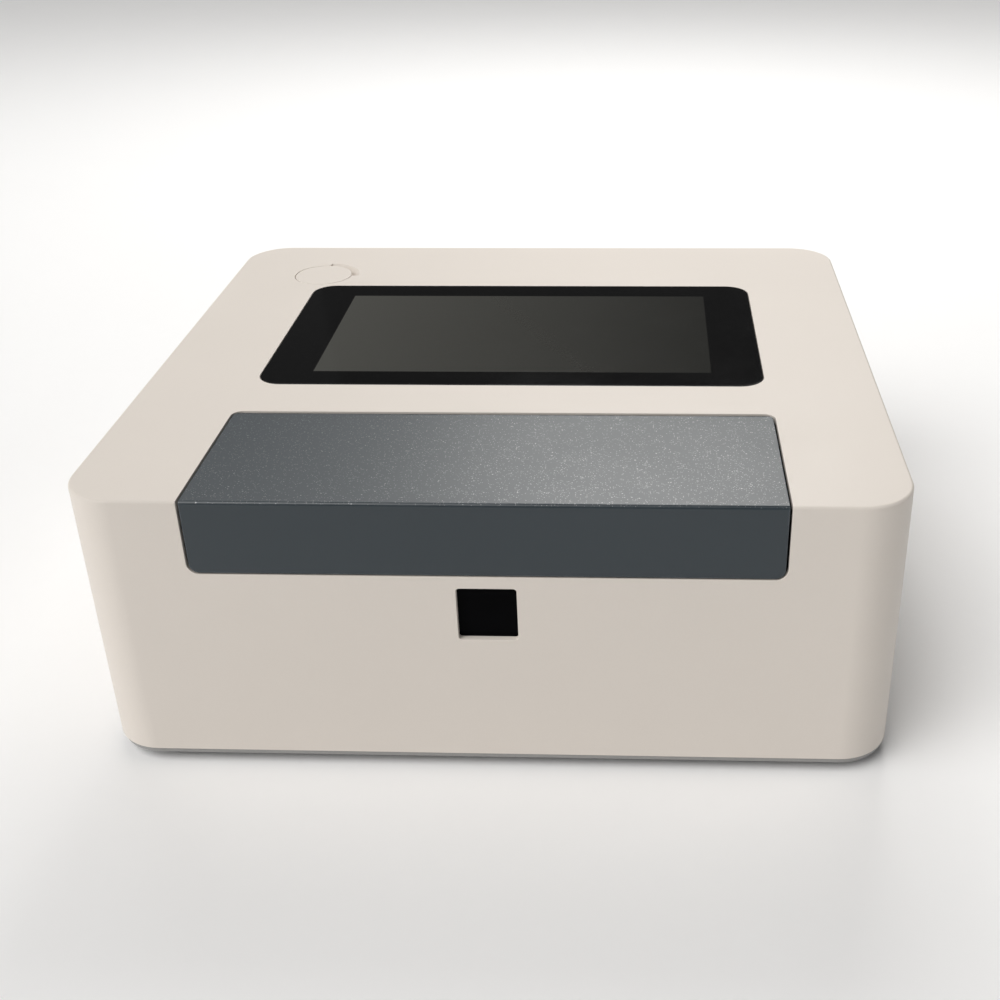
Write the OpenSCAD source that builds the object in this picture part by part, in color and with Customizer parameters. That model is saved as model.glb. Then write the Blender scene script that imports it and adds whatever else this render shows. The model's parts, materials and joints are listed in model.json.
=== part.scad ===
// Bench spectrophotometer: a touch display behind a flush cover glass, a flip lid over a
// six-cell sample compartment, and a tube well at the back left under a flush round cap.
// Millimetres. X points right, Y points back, Z up. The origin is the middle of the footprint
// on the surface that the rubber feet stand on.

/* [Housing] */
// Width over the moulded cover
body_w = 277; // [272:1:290]
// Depth over the moulded cover
body_d = 260; // [258:1:272]
// Height of the cover and the base plate together, without the feet
shell_h = 102; // [101:1:108]
// Radius of the four upright corners
corner_r = 18.5; // [14:0.5:22]
// Radius of the edge round the top
edge_r = 1; // [0.5:0.25:2]
// Wall thickness of the cover
wall = 2.5; // [2:0.25:3]
// Height of the rubber feet
foot_h = 4; // [3:0.5:8]
// Diameter of the rubber feet
foot_d = 20; // [14:1:24]

/* [Lid] */
// Width of the opening that the lid covers
opening_w = 196; // [192:1:198]
// How far the opening runs back from the front face
opening_d = 69.2; // [68:0.2:70]
// How far the opening runs down the front face
opening_h = 27; // [25:0.5:28]
// Corner radius of the opening
opening_r = 4; // [2:0.5:6]
// Gap beside the lid
side_gap = 0.8; // [0.5:0.1:1.2]
// Gap behind the lid, which its back edge swings through
back_gap = 0.95; // [0.9:0.05:1.5]
// Gap below the lid
low_gap = 0.5; // [0.4:0.1:1]

/* [Display] */
// Width of the cover glass
glass_w = 193; // [180:1:194]
// Depth of the cover glass
glass_d = 110.8; // [108:0.2:112]
// Corner radius of the cover glass
glass_r = 9.5; // [4:0.5:12]
// Thickness of the cover glass
glass_t = 1.8; // [1:0.2:2]
// Middle of the cover glass, measured back from the middle of the housing
glass_y = 19.3; // [18:0.1:20]

/* [Sample compartment] */
// Number of cuvette wells in the carriage
cells = 6; // [4:1:6]
// Distance from one well to the next
cell_pitch = 15; // [14.5:0.5:16]
// Inside width of a well for a 12.5 mm cuvette
cell_w = 12.6; // [12.5:0.1:12.8]
// Height of the light beam above the bottom of a cuvette
beam_h = 15; // [8.5:0.5:20]

/* [Tube well] */
// Diameter of the bore for a 16 mm test tube
tube_bore = 16.5; // [16.2:0.1:17]
// Depth of the bore
tube_depth = 72; // [60:1:74]
// Diameter of the flush cap
cap_d = 25.7; // [24:0.1:26]
// Outer radius of the finger pocket round the cap
pocket_r = 16.4; // [15.5:0.1:17]

/* [Scanner window] */
// Width and height of the square window in the front
window_w = 20; // [14:1:22]
// Height of the middle of the window above the base plate
window_z = 60.4; // [58:0.1:61]

/* [Hidden] */

$fn = 64;

// Colours
OFF_WHITE = [0.87, 0.84, 0.81];
SLATE = [0.34, 0.40, 0.44];
BLACK = [0.10, 0.10, 0.11];
GREY = [0.55, 0.55, 0.54];
DARK = [0.22, 0.22, 0.23];
STEEL = [0.70, 0.71, 0.72];
BRASS = [0.78, 0.62, 0.30];
BOARD = [0.10, 0.35, 0.20];
GLASS = [0.75, 0.85, 0.88];
ALUMINIUM = [0.78, 0.79, 0.80];

// Housing levels
plate_t = 2;                          // base plate
plate_inset = 0.8;                    // base plate edge behind the housing's face
deck_z = foot_h + plate_t;            // inside floor
top_z = foot_h + shell_h;             // top face
ceiling_z = top_z - wall;             // underside of the top
front_y = -body_d/2;
inner_front_y = front_y + wall;
inner_rear_y = body_d/2 - wall;
post_x = body_w/2 - 16.5;             // corner posts that take the cover screws
post_y = body_d/2 - 17;
post_d = 9;
foot_x = body_w/2 - 30;
foot_y = body_d/2 - 28;
screw_d = 3;                          // M3 screws throughout
head_d = 5.5;
head_h = 1.6;

// Display stack, from the glass down
ledge_t = 3;                          // rim that carries the glass
ledge_z = top_z - glass_t - ledge_t;
lcd_w = 164.9;
lcd_d = 100;
lcd_t = 5.7;
lcd_z = top_z - glass_t - 0.3 - lcd_t;
frame_t = 2;
frame_z = lcd_z - frame_t;
frame_w = 188;
frame_d = 104;
frame_boss_x = 90;
frame_boss_y = 38;
display_board_z = frame_z - 7.5;
board_t = 1.6;

// Lid and its hinge
opening_back_y = front_y + opening_d;
opening_z = top_z - opening_h;
lid_w = opening_w - 2*side_gap;
lid_back_y = opening_back_y - back_gap;
lid_low_z = opening_z + low_gap;
lid_t = 2;
skirt_t = 2.4;
lid_r = opening_r - side_gap;
lid_edge_r = 1.2;
hinge_y = lid_back_y - 16;
hinge_z = top_z - 5.2;
pin_d = 3;
boss_r = 2.9;
ear_x = 86;                           // inner face of a lid ear
ear_t = 3.6;
boss_x = ear_x + ear_t + 0.8;         // inner face of a hinge boss
liner_t = 1.6;
liner_w = 180;
leg_w = 184;
leg_z = opening_z + 3;

// Sample tub
tub_t = 2;
tub_in_w = opening_w + 1;             // clear of the opening's edges
tub_front_y = inner_front_y + 0.3;
tub_back_y = opening_back_y + 0.5;    // inside face of the back wall
rim_z = opening_z - 0.4;              // top of the deck round the well
well_w = 188;                         // the lower well that the carriage runs in
well_front_y = front_y + 26;
well_floor_z = 27.5;
lip_w = 3.5;                          // ledges that carry the side seals
lip_back_y = hinge_y - 6;
seal_h = 2.3;
magnet_x = 80;
magnet_y = front_y + 11.5;
magnet_d = 8;
magnet_h = 3;
catch_h = 1;

// Carriage
cell_y = front_y + 41;                // the row of cuvettes
cell_floor_z = 52;
beam_z = cell_floor_z + beam_h;
block_w = cells*cell_pitch + 6;
block_d = 24;
block_low_z = 40;
block_top_z = 82;
travel = (cells - 1)*cell_pitch;
carriage_x = -travel/2;               // rest position: the last cell stands in the beam
guide_d = 6;
guide_y = 7;                          // each rod's distance from the row of cuvettes
guide_z = 46;
bush_d = 9;
bush_l = 12;
screw_z = 35;
lead_d = 6;
journal_d = 5;
nut_d = 10;
nut_l = 24;
run_gap = 0.05;                       // radial clearance of every running fit
motor_w = 28;
motor_l = 30;

// Optics bench
bench_w = 140;
bench_front_y = front_y + 75;
bench_back_y = 58;
bench_floor_z = 45;
bench_top_z = 82;
bench_wall = 4;
bench_d = bench_back_y - bench_front_y;
bench_y = (bench_back_y + bench_front_y)/2;
slit_y = 20;                          // where the lamp's light enters
collimator = [46, 26];
focuser = [0, 46];
grating_at = [-30, -15];
mirror_d = 25;
mirror_t = 6;
mirror_r = 120;
lamp_x = -102;
wheel_r = 15;                         // circle that the filters lie on
wheel_x = -76;
wheel_t = 3;
filter_d = 9;
small_motor_d = 14;
small_motor_l = 16;

// Tube well
tube_x = -97;
tube_y = 89.5;
collar_z = 98;
collar_r = 18.5;
seat_z = top_z - 3.6;
seal_t = 0.5;
tube_led_z = 45;

// Connector bay in the rear wall
bay_x = 20;
bay_w = 184;
bay_z = 18;
bay_h = 50;
bay_rim = 8;
bay_depth = 6.5;                      // from the rear face to the panel
panel_t = 2;
panel_y = body_d/2 - bay_depth;       // outer face of the panel
board_z = 20;                         // underside of the mainboard
board_top_z = board_z + board_t;
board_front_y = 66;
board_left_x = -75;
board_right_x = 60;
switch_x = 42;
switch_z = 46;
socket_x = 18;
usb_xs = [-22, -4];
network_x = -47;
fan_x = 85;
fan_z = bay_z + bay_h/2;
fan_w = 40;
fan_t = 10;
fan_y = panel_y - panel_t;            // the fan's face against the panel

// Points of an arc round (x, y), from angle a0 to a1
function arc(x, y, r, a0, a1, n = 6) =
    [for (i = [0:n]) let (a = a0 + (a1 - a0)*i/n) [x + r*cos(a), y + r*sin(a)]];

// Rectangle with round corners, centred
module round_rect(w, d, r) {
    square([w - 2*r, d], center = true);
    square([w, d - 2*r], center = true);
    for (sx = [-1, 1], sy = [-1, 1])
        translate([sx*(w/2 - r), sy*(d/2 - r)]) circle(r);
}

// Upright block with round corners, centred on Z, from z = low to z = high
module round_block(w, d, r, low, high) {
    translate([0, 0, low]) linear_extrude(high - low) round_rect(w, d, r);
}

// The same block with its top edge rounded too. Every piece meets the next in a flat face.
module soft_block(w, d, r, e, low, high) {
    h = high - low;
    profile = concat([[0, 0], [r, 0]], arc(r - e, h - e, e, 0, 90), [[0, h]]);
    translate([0, 0, low]) {
        for (corner = [[1, 1, 0], [-1, 1, 90], [-1, -1, 180], [1, -1, 270]])
            translate([corner[0]*(w/2 - r), corner[1]*(d/2 - r), 0])
                rotate([0, 0, corner[2]]) rotate_extrude(angle = 90) polygon(profile);
        for (side = [0:3])
            rotate([0, 0, 90*side])
                translate([(side % 2 == 0 ? w : d)/2 - r, 0, 0])
                    along_y((side % 2 == 0 ? d : w) - 2*r) polygon(profile);
        translate([r - w/2, r - d/2, 0]) cube([w - 2*r, d - 2*r, h]);
    }
}

// Box between two corners
module box(low, high) {
    translate(low) cube(high - low);
}

// A (y, z) outline extruded along X, and an (x, z) outline extruded along Y, both centred
module along_x(l) {
    rotate([90, 0, 90]) linear_extrude(l, center = true) children();
}
module along_y(l) {
    rotate([90, 0, 0]) linear_extrude(l, center = true) children();
}

// Rods and bores along X, Y and Z, from one coordinate to another
module rod_x(x0, x1, y, z, d) {
    translate([x0, y, z]) rotate([0, 90, 0]) cylinder(h = x1 - x0, d = d);
}
module rod_y(y0, y1, x, z, d) {
    translate([x, y0, z]) rotate([-90, 0, 0]) cylinder(h = y1 - y0, d = d);
}
module rod_z(z0, z1, x, y, d) {
    translate([x, y, z0]) cylinder(h = z1 - z0, d = d);
}

// Pan-head screw pointing up, its head's bearing face at z = 0
module screw(l) {
    cylinder(h = l, d = screw_d - 0.1);
    difference() {
        translate([0, 0, -head_h]) cylinder(h = head_h, d = head_d);
        for (a = [0, 90]) rotate([0, 0, a]) translate([-1.6, -0.4, -head_h - 0.1]) cube([3.2, 0.8, 0.9]);
    }
}

// The opening in the housing: round upright corners behind, round corners low in front
module lid_opening() {
    intersection() {
        translate([0, opening_back_y - 60, 0])
            round_block(opening_w, 120, opening_r, opening_z - 1, top_z + 9);
        translate([0, 0, opening_z + 30]) along_y(2*body_d) round_rect(opening_w, 60, opening_r);
    }
}

// ---- Housing and base ----

module housing() color(OFF_WHITE) difference() {
    union() {
        difference() {
            soft_block(body_w, body_d, corner_r, edge_r, deck_z, top_z);
            round_block(body_w - 2*wall, body_d - 2*wall, corner_r - wall, deck_z - 1, ceiling_z);
        }
        translate([0, glass_y, 0])
            round_block(glass_w + 6, glass_d + 6, glass_r, ledge_z, ceiling_z + 0.1);
        rod_z(collar_z, ceiling_z + 0.1, tube_x, tube_y, 2*collar_r);
        for (sx = [-1, 1], sy = [-1, 1])
            rod_z(deck_z + 0.2, ceiling_z + 0.1, sx*post_x, sy*post_y, post_d);
        translate([bay_x, (panel_y + inner_rear_y + 0.1)/2, bay_z + bay_h/2])
            along_y(inner_rear_y - panel_y + 0.1)
                round_rect(bay_w + 2*bay_rim, bay_h + 2*bay_rim, 4);
    }
    lid_opening();
    translate([0, glass_y, 0])
        round_block(glass_w + 0.4, glass_d + 0.4, glass_r, top_z - glass_t, top_z + 1);
    translate([0, glass_y + 0.7, 0])
        round_block(lcd_w + 3, lcd_d + 3, 2, ledge_z - 1, top_z);
    for (sx = [-1, 1], sy = [-1, 1])
        rod_z(ledge_z - 1, ledge_z + 2.2, sx*frame_boss_x, glass_y + sy*frame_boss_y, screw_d);
    rod_z(seat_z, top_z + 1, tube_x, tube_y, cap_d + 0.6);
    rod_z(collar_z - 1, top_z, tube_x, tube_y, 22);
    finger_pocket();
    translate([0, inner_front_y - wall/2, foot_h + window_z]) along_y(wall + 2)
        round_rect(window_w, window_w, 1.2);
    translate([bay_x, body_d/2 - bay_depth/2, bay_z + bay_h/2]) along_y(bay_depth + 2)
        round_rect(bay_w, bay_h, 3);
    for (p = panel_screw_points()) {
        rod_y(panel_y - 1, body_d/2 + 1, p[0], p[1], screw_d + 0.2);
        rod_y(body_d/2 - 1.9, body_d/2 + 1, p[0], p[1], head_d + 0.6);
    }
    for (sx = [-1, 1], sy = [-1, 1])
        rod_z(deck_z - 1, deck_z + 12, sx*post_x, sy*post_y, screw_d);
}

// A quarter ring cut round the cap's back right side, deep enough to hook the cap's edge.
// Its floor slopes up to the outer rim.
module finger_pocket() {
    translate([tube_x, tube_y, top_z - 4.2]) rotate([0, 0, -3]) rotate_extrude(angle = 91)
        polygon([[10.5, 0], [13.4, 0], [pocket_r, 4.2], [pocket_r, 6], [10.5, 6]]);
}

module base_plate() color(GREY) difference() {
    union() {
        round_block(body_w - 2*plate_inset, body_d - 2*plate_inset, corner_r - plate_inset,
            foot_h, deck_z);
        difference() {
            round_block(body_w - 2*wall - 0.8, body_d - 2*wall - 0.8, corner_r - wall - 0.4,
                deck_z - 0.5, deck_z + 3);
            round_block(body_w - 2*wall - 3.8, body_d - 2*wall - 3.8, corner_r - wall - 1.9,
                deck_z - 1, deck_z + 4);
        }
    }
    for (sx = [-1, 1], sy = [-1, 1]) {
        rod_z(foot_h - 1, deck_z + 1, sx*post_x, sy*post_y, screw_d + 0.4);
        rod_z(foot_h - 1, deck_z + 1, sx*foot_x, sy*foot_y, screw_d);
    }
    // air slots below the lamp and below the driver board
    for (x0 = [-112, 84], i = [0:5])
        translate([x0 + 6*i, 20, deck_z - plate_t/2]) cube([3, 40, plate_t + 2], center = true);
}

// Rubber foot with a countersunk hole for its screw
module foot(sx, sy) color(BLACK) translate([sx*foot_x, sy*foot_y, 0]) difference() {
    union() {
        cylinder(h = foot_h - 0.6, d1 = foot_d - 2, d2 = foot_d);
        translate([0, 0, foot_h - 0.6]) cylinder(h = 0.6, d = foot_d);
    }
    translate([0, 0, -1]) cylinder(h = foot_h + 2, d = screw_d + 0.4);
    translate([0, 0, -1]) cylinder(h = 1 + foot_h/2 + 0.2, d = head_d + 2);
}
module foot_front_left() foot(-1, -1);
module foot_front_right() foot(1, -1);
module foot_rear_left() foot(-1, 1);
module foot_rear_right() foot(1, 1);

module foot_screws() color(STEEL) for (sx = [-1, 1], sy = [-1, 1])
    translate([sx*foot_x, sy*foot_y, foot_h/2 + 0.2]) screw(foot_h/2 + plate_t + 2);

// Screws into the corner posts, and screws that hold the rear panel
function panel_screw_points() =
    [for (sx = [-1, 1], sz = [-1, 1])
        [bay_x + sx*(bay_w + bay_rim)/2, bay_z + bay_h/2 + sz*(bay_h + bay_rim)/2]];
module cover_screws() color(STEEL) {
    for (sx = [-1, 1], sy = [-1, 1])
        translate([sx*post_x, sy*post_y, foot_h]) screw(plate_t + 10);
    for (p = panel_screw_points())
        translate([p[0], body_d/2 - 1.9, p[1]]) rotate([90, 0, 0]) screw(8);
}

// Screws inside: display frame, bench cover and carriage motor
module inner_screws() color(STEEL) {
    for (sx = [-1, 1], sy = [-1, 1]) {
        translate([sx*frame_boss_x, glass_y + sy*frame_boss_y, frame_z]) screw(ledge_z - frame_z + 2);
        translate([sx*(bench_w/2 - 7), bench_y + sy*(bench_d/2 - 7), bench_top_z + 2])
            rotate([180, 0, 0]) screw(9);
    }
    for (s = [-1, 1]) translate([well_w/2, cell_y + s*11, screw_z]) rotate([0, 90, 0]) screw(6);
}

// ---- Lid ----

module lid() color(SLATE) intersection() {
    along_x(lid_w) polygon(concat(
        [[front_y, lid_low_z], [front_y + skirt_t, lid_low_z], [front_y + skirt_t, top_z - lid_t],
         [lid_back_y, top_z - lid_t]],
        arc(lid_back_y - lid_edge_r, top_z - lid_edge_r, lid_edge_r, 0, 90),
        arc(front_y + lid_edge_r, top_z - lid_edge_r, lid_edge_r, 90, 180)));
    translate([0, lid_back_y - 60, 0]) round_block(lid_w, 120, lid_r, 0, 2*top_z);
    translate([0, 0, lid_low_z + 30]) along_y(2*body_d) round_rect(lid_w, 60, lid_r);
}

module lid_liner() color(BLACK) difference() {
    union() {
        box([-liner_w/2, front_y + skirt_t, top_z - lid_t - liner_t],
            [liner_w/2, hinge_y + 9.5, top_z - lid_t]);
        box([-leg_w/2, front_y + skirt_t, leg_z],
            [leg_w/2, front_y + skirt_t + 1.5, top_z - lid_t - 1]);
        for (s = [-1, 1]) {
            translate([s*(ear_x + ear_t/2), 0, 0]) along_x(ear_t) {
                translate([hinge_y, hinge_z]) circle(r = 3.1);
                translate([hinge_y - 3.1, hinge_z]) square([6.2, 3]);
            }
            box([s*magnet_x - 6, front_y + skirt_t + 1, leg_z],
                [s*magnet_x + 6, magnet_y + 6, leg_z + 6]);
        }
    }
    rod_x(-liner_w, liner_w, hinge_y, hinge_z, pin_d);
    for (s = [-1, 1]) rod_z(leg_z - 1, leg_z + 2, s*magnet_x, magnet_y, magnet_d);
}

module hinge_pins() color(STEEL) for (s = [-1, 1])
    rod_x(s > 0 ? ear_x - 2 : -tub_in_w/2 + 1, s > 0 ? tub_in_w/2 - 1 : 2 - ear_x,
        hinge_y, hinge_z, pin_d);

// Foam strips: one along the front, one on each side ledge
module lid_seal() color(DARK) {
    box([-well_w/2, tub_front_y + 0.2, rim_z], [well_w/2, tub_front_y + 3.5, leg_z - 0.4]);
    for (s = [-1, 1])
        box([s*(tub_in_w/2 - lip_w/2) - 1.2, tub_front_y, top_z - lid_t - 0.3 - seal_h],
            [s*(tub_in_w/2 - lip_w/2) + 1.2, lip_back_y, top_z - lid_t - 0.3]);
}

module lid_magnets() color(STEEL) for (s = [-1, 1])
    rod_z(leg_z - 1, leg_z + 2, s*magnet_x, magnet_y, magnet_d);
module catch_plates() color(STEEL) for (s = [-1, 1])
    rod_z(rim_z, rim_z + catch_h, s*magnet_x, magnet_y, magnet_d + 2);

// ---- Display ----

module cover_glass() color(BLACK)
    translate([0, glass_y, 0]) round_block(glass_w, glass_d, glass_r, top_z - glass_t, top_z);

module lcd_panel() color(DARK)
    translate([-lcd_w/2, glass_y + 0.7 - lcd_d/2, lcd_z]) cube([lcd_w, lcd_d, lcd_t]);

module display_frame() color(STEEL) difference() {
    union() {
        translate([0, glass_y + 0.7, 0]) round_block(frame_w, frame_d, 4, frame_z, lcd_z);
        for (sx = [-1, 1], sy = [-1, 1])
            rod_z(frame_z + 1, ledge_z, sx*frame_boss_x, glass_y + sy*frame_boss_y, 7);
    }
    for (sx = [-1, 1], sy = [-1, 1])
        rod_z(frame_z - 1, ledge_z + 1, sx*frame_boss_x, glass_y + sy*frame_boss_y, screw_d + 0.2);
    for (sx = [-1, 1])
        translate([sx*50, glass_y, 0]) round_block(56, 70, 6, frame_z - 1, lcd_z + 1);
}

module display_board() color(BOARD) difference() {
    box([-60, -14, display_board_z], [60, 52, display_board_z + board_t]);
    for (sx = [-1, 1], y = [-9, 47]) rod_z(0, top_z, sx*15, y, screw_d + 0.2);
}

// Flat cable from the display board down behind the bench to the mainboard
ribbon_t = 0.6;
ribbon_back_y = 61.5;
module display_ribbon() color(GREY) along_x(24) {
    translate([50, display_board_z - ribbon_t]) square([ribbon_back_y - 50 + ribbon_t, ribbon_t]);
    translate([ribbon_back_y, board_top_z + 2]) square([ribbon_t, display_board_z - board_top_z - 2]);
    translate([ribbon_back_y, board_top_z + 2]) square([board_front_y + 2 - ribbon_back_y, ribbon_t]);
}

// ---- Code scanner behind the front wall ----

module scan_window() color(BLACK)
    box([-window_w/2 - 2.5, inner_front_y, foot_h + window_z - window_w/2 - 2.2],
        [window_w/2 + 2.5, inner_front_y + 1.5, foot_h + window_z + window_w/2 + 2]);

module scan_engine() color(DARK) difference() {
    box([-11, inner_front_y + 1.5, foot_h + window_z - 9], [11, inner_front_y + 13, foot_h + window_z + 9]);
    for (x = [-5, 5]) rod_y(inner_front_y, inner_front_y + 4, x, foot_h + window_z, 6);
}

// ---- Sample compartment ----

module sample_tub() color(BLACK) difference() {
    union() {
        // upper part, open to the top and the front
        box([-tub_in_w/2 - tub_t, tub_front_y, rim_z - tub_t],
            [tub_in_w/2 + tub_t, tub_back_y + tub_t, ceiling_z - 0.2]);
        // lower well
        box([-well_w/2 - tub_t, well_front_y - tub_t, well_floor_z - tub_t],
            [well_w/2 + tub_t, tub_back_y + tub_t, rim_z]);
        rod_x(-well_w/2 - 6, -well_w/2, cell_y, screw_z, 12);
    }
    difference() {
        box([-tub_in_w/2, tub_front_y - 1, rim_z], [tub_in_w/2, tub_back_y, top_z]);
        for (s = [-1, 1]) {
            box([s*(tub_in_w/2 - lip_w/2) - lip_w/2, tub_front_y, top_z - lid_t - seal_h - 2.7],
                [s*(tub_in_w/2 - lip_w/2) + lip_w/2, lip_back_y, top_z - lid_t - seal_h - 0.3]);
            rod_x(s > 0 ? boss_x : -tub_in_w/2 - 1, s > 0 ? tub_in_w/2 + 1 : -boss_x,
                hinge_y, hinge_z, 2*boss_r);
        }
    }
    box([-well_w/2, well_front_y, well_floor_z], [well_w/2, tub_back_y, rim_z + 1]);
    rod_x(-tub_in_w/2 - 0.5, tub_in_w/2 + 0.5, hinge_y, hinge_z, pin_d + 2*run_gap);
    for (s = [-1, 1]) rod_x(-body_w/2, body_w/2, cell_y + s*guide_y, guide_z, guide_d);
    rod_x(-well_w/2 - 5, -well_w/2 + 1, cell_y, screw_z, journal_d + 2*run_gap);
    rod_x(well_w/2 - 1, well_w/2 + tub_t + 1, cell_y, screw_z, 16);
    for (s = [-1, 1])
        rod_x(well_w/2 - 1, well_w/2 + tub_t + 1, cell_y + s*11, screw_z, screw_d);
    rod_y(well_front_y - tub_t - 1, well_front_y + 1, 0, beam_z, 8);
    rod_y(tub_back_y - 1, tub_back_y + tub_t + 1, 0, beam_z, 10);
}

// X of each cell's middle, with the carriage at rest
function cell_xs() = [for (i = [0:cells - 1]) carriage_x + (i - (cells - 1)/2)*cell_pitch];

module cell_carriage() color(DARK) difference() {
    union() {
        box([carriage_x - block_w/2, cell_y - block_d/2, block_low_z],
            [carriage_x + block_w/2, cell_y + block_d/2, block_top_z]);
        box([carriage_x - nut_l/2, cell_y - 8, screw_z - 6], [carriage_x + nut_l/2, cell_y + 8, block_low_z + 1]);
    }
    for (x = cell_xs()) {
        box([x - cell_w/2, cell_y - cell_w/2, cell_floor_z], [x + cell_w/2, cell_y + cell_w/2, block_top_z + 1]);
        box([x + cell_w/2 - 0.1, cell_y - 3.5, cell_floor_z + 2], [x + cell_w/2 + 1.2, cell_y + 3.5, block_top_z + 1]);
        translate([x, cell_y, beam_z]) cube([6, block_d + 2, 16], center = true);
    }
    for (s = [-1, 1])
        rod_x(carriage_x - block_w/2 - 1, carriage_x + block_w/2 + 1, cell_y + s*guide_y, guide_z, bush_d);
    rod_x(carriage_x - nut_l, carriage_x + nut_l, cell_y, screw_z, nut_d);
}

module carriage_bushes() color(BRASS) for (sx = [-1, 1], sy = [-1, 1]) difference() {
    x0 = carriage_x + sx*(block_w - bush_l)/2 - bush_l/2;
    rod_x(x0, x0 + bush_l, cell_y + sy*guide_y, guide_z, bush_d);
    rod_x(x0 - 1, x0 + bush_l + 1, cell_y + sy*guide_y, guide_z, guide_d + 2*run_gap);
}

// A bowed leaf in each well that pushes the cuvette against the opposite wall
spring_t = 0.3;
spring_r = 65;
spring_a = 10;
module cell_springs() color(STEEL) for (x = cell_xs())
    translate([x + cell_w/2 + 1.15 - spring_t - spring_r*(1 - cos(spring_a)), cell_y, cell_floor_z + 15])
        along_y(5) polygon(concat(
            arc(spring_r, 0, spring_r, 180 - spring_a, 180 + spring_a, 12),
            arc(spring_r, 0, spring_r - spring_t, 180 + spring_a, 180 - spring_a, 12)));

module guide_rods() color(STEEL) for (s = [-1, 1])
    rod_x(-well_w/2 - tub_t, well_w/2 + tub_t, cell_y + s*guide_y, guide_z, guide_d);

module lead_nut() color(BRASS) difference() {
    rod_x(carriage_x - nut_l/2, carriage_x + nut_l/2, cell_y, screw_z, nut_d);
    rod_x(carriage_x - nut_l, carriage_x + nut_l, cell_y, screw_z, lead_d + 2*run_gap);
}

module lead_screw() color(STEEL) {
    rod_x(-well_w/2 + 1, well_w/2 - 1, cell_y, screw_z, lead_d);
    rod_x(-well_w/2 - 4, -well_w/2 + 1, cell_y, screw_z, journal_d);
    rod_x(well_w/2 - 1, well_w/2 + motor_l - 8, cell_y, screw_z, journal_d);
}

// Stepper motor whose shaft is the lead screw
module carriage_motor() color(DARK) difference() {
    union() {
        box([well_w/2 + tub_t, cell_y - motor_w/2, screw_z - motor_w/2],
            [well_w/2 + tub_t + motor_l, cell_y + motor_w/2, screw_z + motor_w/2]);
        rod_x(well_w/2 + 0.2, well_w/2 + tub_t + 1, cell_y, screw_z, 15.6);
    }
    rod_x(well_w/2 - 1, well_w/2 + motor_l - 7, cell_y, screw_z, journal_d + 2*run_gap);
    for (s = [-1, 1])
        rod_x(well_w/2, well_w/2 + tub_t + 5, cell_y + s*11, screw_z, screw_d);
}

// Photodiode in its can, and the board that carries it in front of the well
module detector_board() color(BOARD) {
    box([-14, well_front_y - 8, beam_z - 13], [14, well_front_y - 8 + board_t, beam_z + 9]);
    rod_y(well_front_y - 6.4, well_front_y - tub_t, 0, beam_z, 9);
}

// ---- Optics bench ----

module optics_base() color(ALUMINIUM) difference() {
    union() {
        difference() {
            box([-bench_w/2, bench_front_y, bench_floor_z - 5], [bench_w/2, bench_back_y, bench_top_z]);
            box([bench_wall - bench_w/2, bench_front_y + bench_wall, bench_floor_z],
                [bench_w/2 - bench_wall, bench_back_y - bench_wall, bench_top_z + 1]);
        }
        for (sx = [-1, 1], sy = [-1, 1]) {
            rod_z(deck_z, bench_floor_z - 4, sx*(bench_w/2 - 9), bench_y + sy*(bench_d/2 - 9), 12);
            rod_z(bench_floor_z - 1, bench_top_z, sx*(bench_w/2 - 7), bench_y + sy*(bench_d/2 - 7), 9);
        }
        mirror_stand(collimator, collimator_turn());
        mirror_stand(focuser, focuser_turn());
    }
    for (sx = [-1, 1], sy = [-1, 1])
        rod_z(bench_top_z - 8, bench_top_z + 1, sx*(bench_w/2 - 7), bench_y + sy*(bench_d/2 - 7), screw_d);
    rod_x(-bench_w/2 - 1, bench_wall - bench_w/2 + 1, slit_y, beam_z, 8);
    rod_y(bench_front_y - 1, bench_front_y + bench_wall + 1, 0, beam_z, 12);
    rod_z(bench_floor_z - 6, bench_floor_z + 1, grating_at[0], grating_at[1], 6);
}

// Directions that the two mirrors face, as angles about Z
function turn_between(a, m, b) =
    let (u = (a - m)/norm(a - m), v = (b - m)/norm(b - m), w = u + v) atan2(w[1], w[0]);
function collimator_turn() = turn_between([-bench_w/2, slit_y], collimator, grating_at);
function focuser_turn() = turn_between(grating_at, focuser, [0, bench_front_y]);
function grating_turn() = turn_between(collimator, grating_at, focuser);

// Cast stand with a round seat for a mirror that faces along +X before it is turned
module mirror_stand(at, turn) translate([at[0], at[1], 0]) rotate([0, 0, turn])
    difference() {
        box([-9, -11, bench_floor_z - 1], [-1, 11, bench_top_z - 1]);
        rod_x(-4, 0, 0, beam_z, mirror_d - 5);
    }

module optics_cover() color(ALUMINIUM) difference() {
    box([-bench_w/2, bench_front_y, bench_top_z], [bench_w/2, bench_back_y, bench_top_z + 2]);
    for (sx = [-1, 1], sy = [-1, 1])
        rod_z(bench_top_z - 1, bench_top_z + 3, sx*(bench_w/2 - 7), bench_y + sy*(bench_d/2 - 7), screw_d + 0.2);
}

// Round glass with a hollow front face of radius mirror_r
module concave_mirror(at, turn) translate([at[0], at[1], beam_z]) rotate([0, 0, turn]) rotate([0, 90, 0])
    rotate_extrude() polygon(concat([[0, -1], [(mirror_d - 3)/2, -1]],
        [for (i = [6:-1:0]) let (x = (mirror_d - 3)/2*i/6) [x, mirror_t - 2 + x*x/(2*mirror_r)]]));
module concave_mirrors() color(GLASS) {
    concave_mirror(collimator, collimator_turn());
    concave_mirror(focuser, focuser_turn());
}

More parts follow.
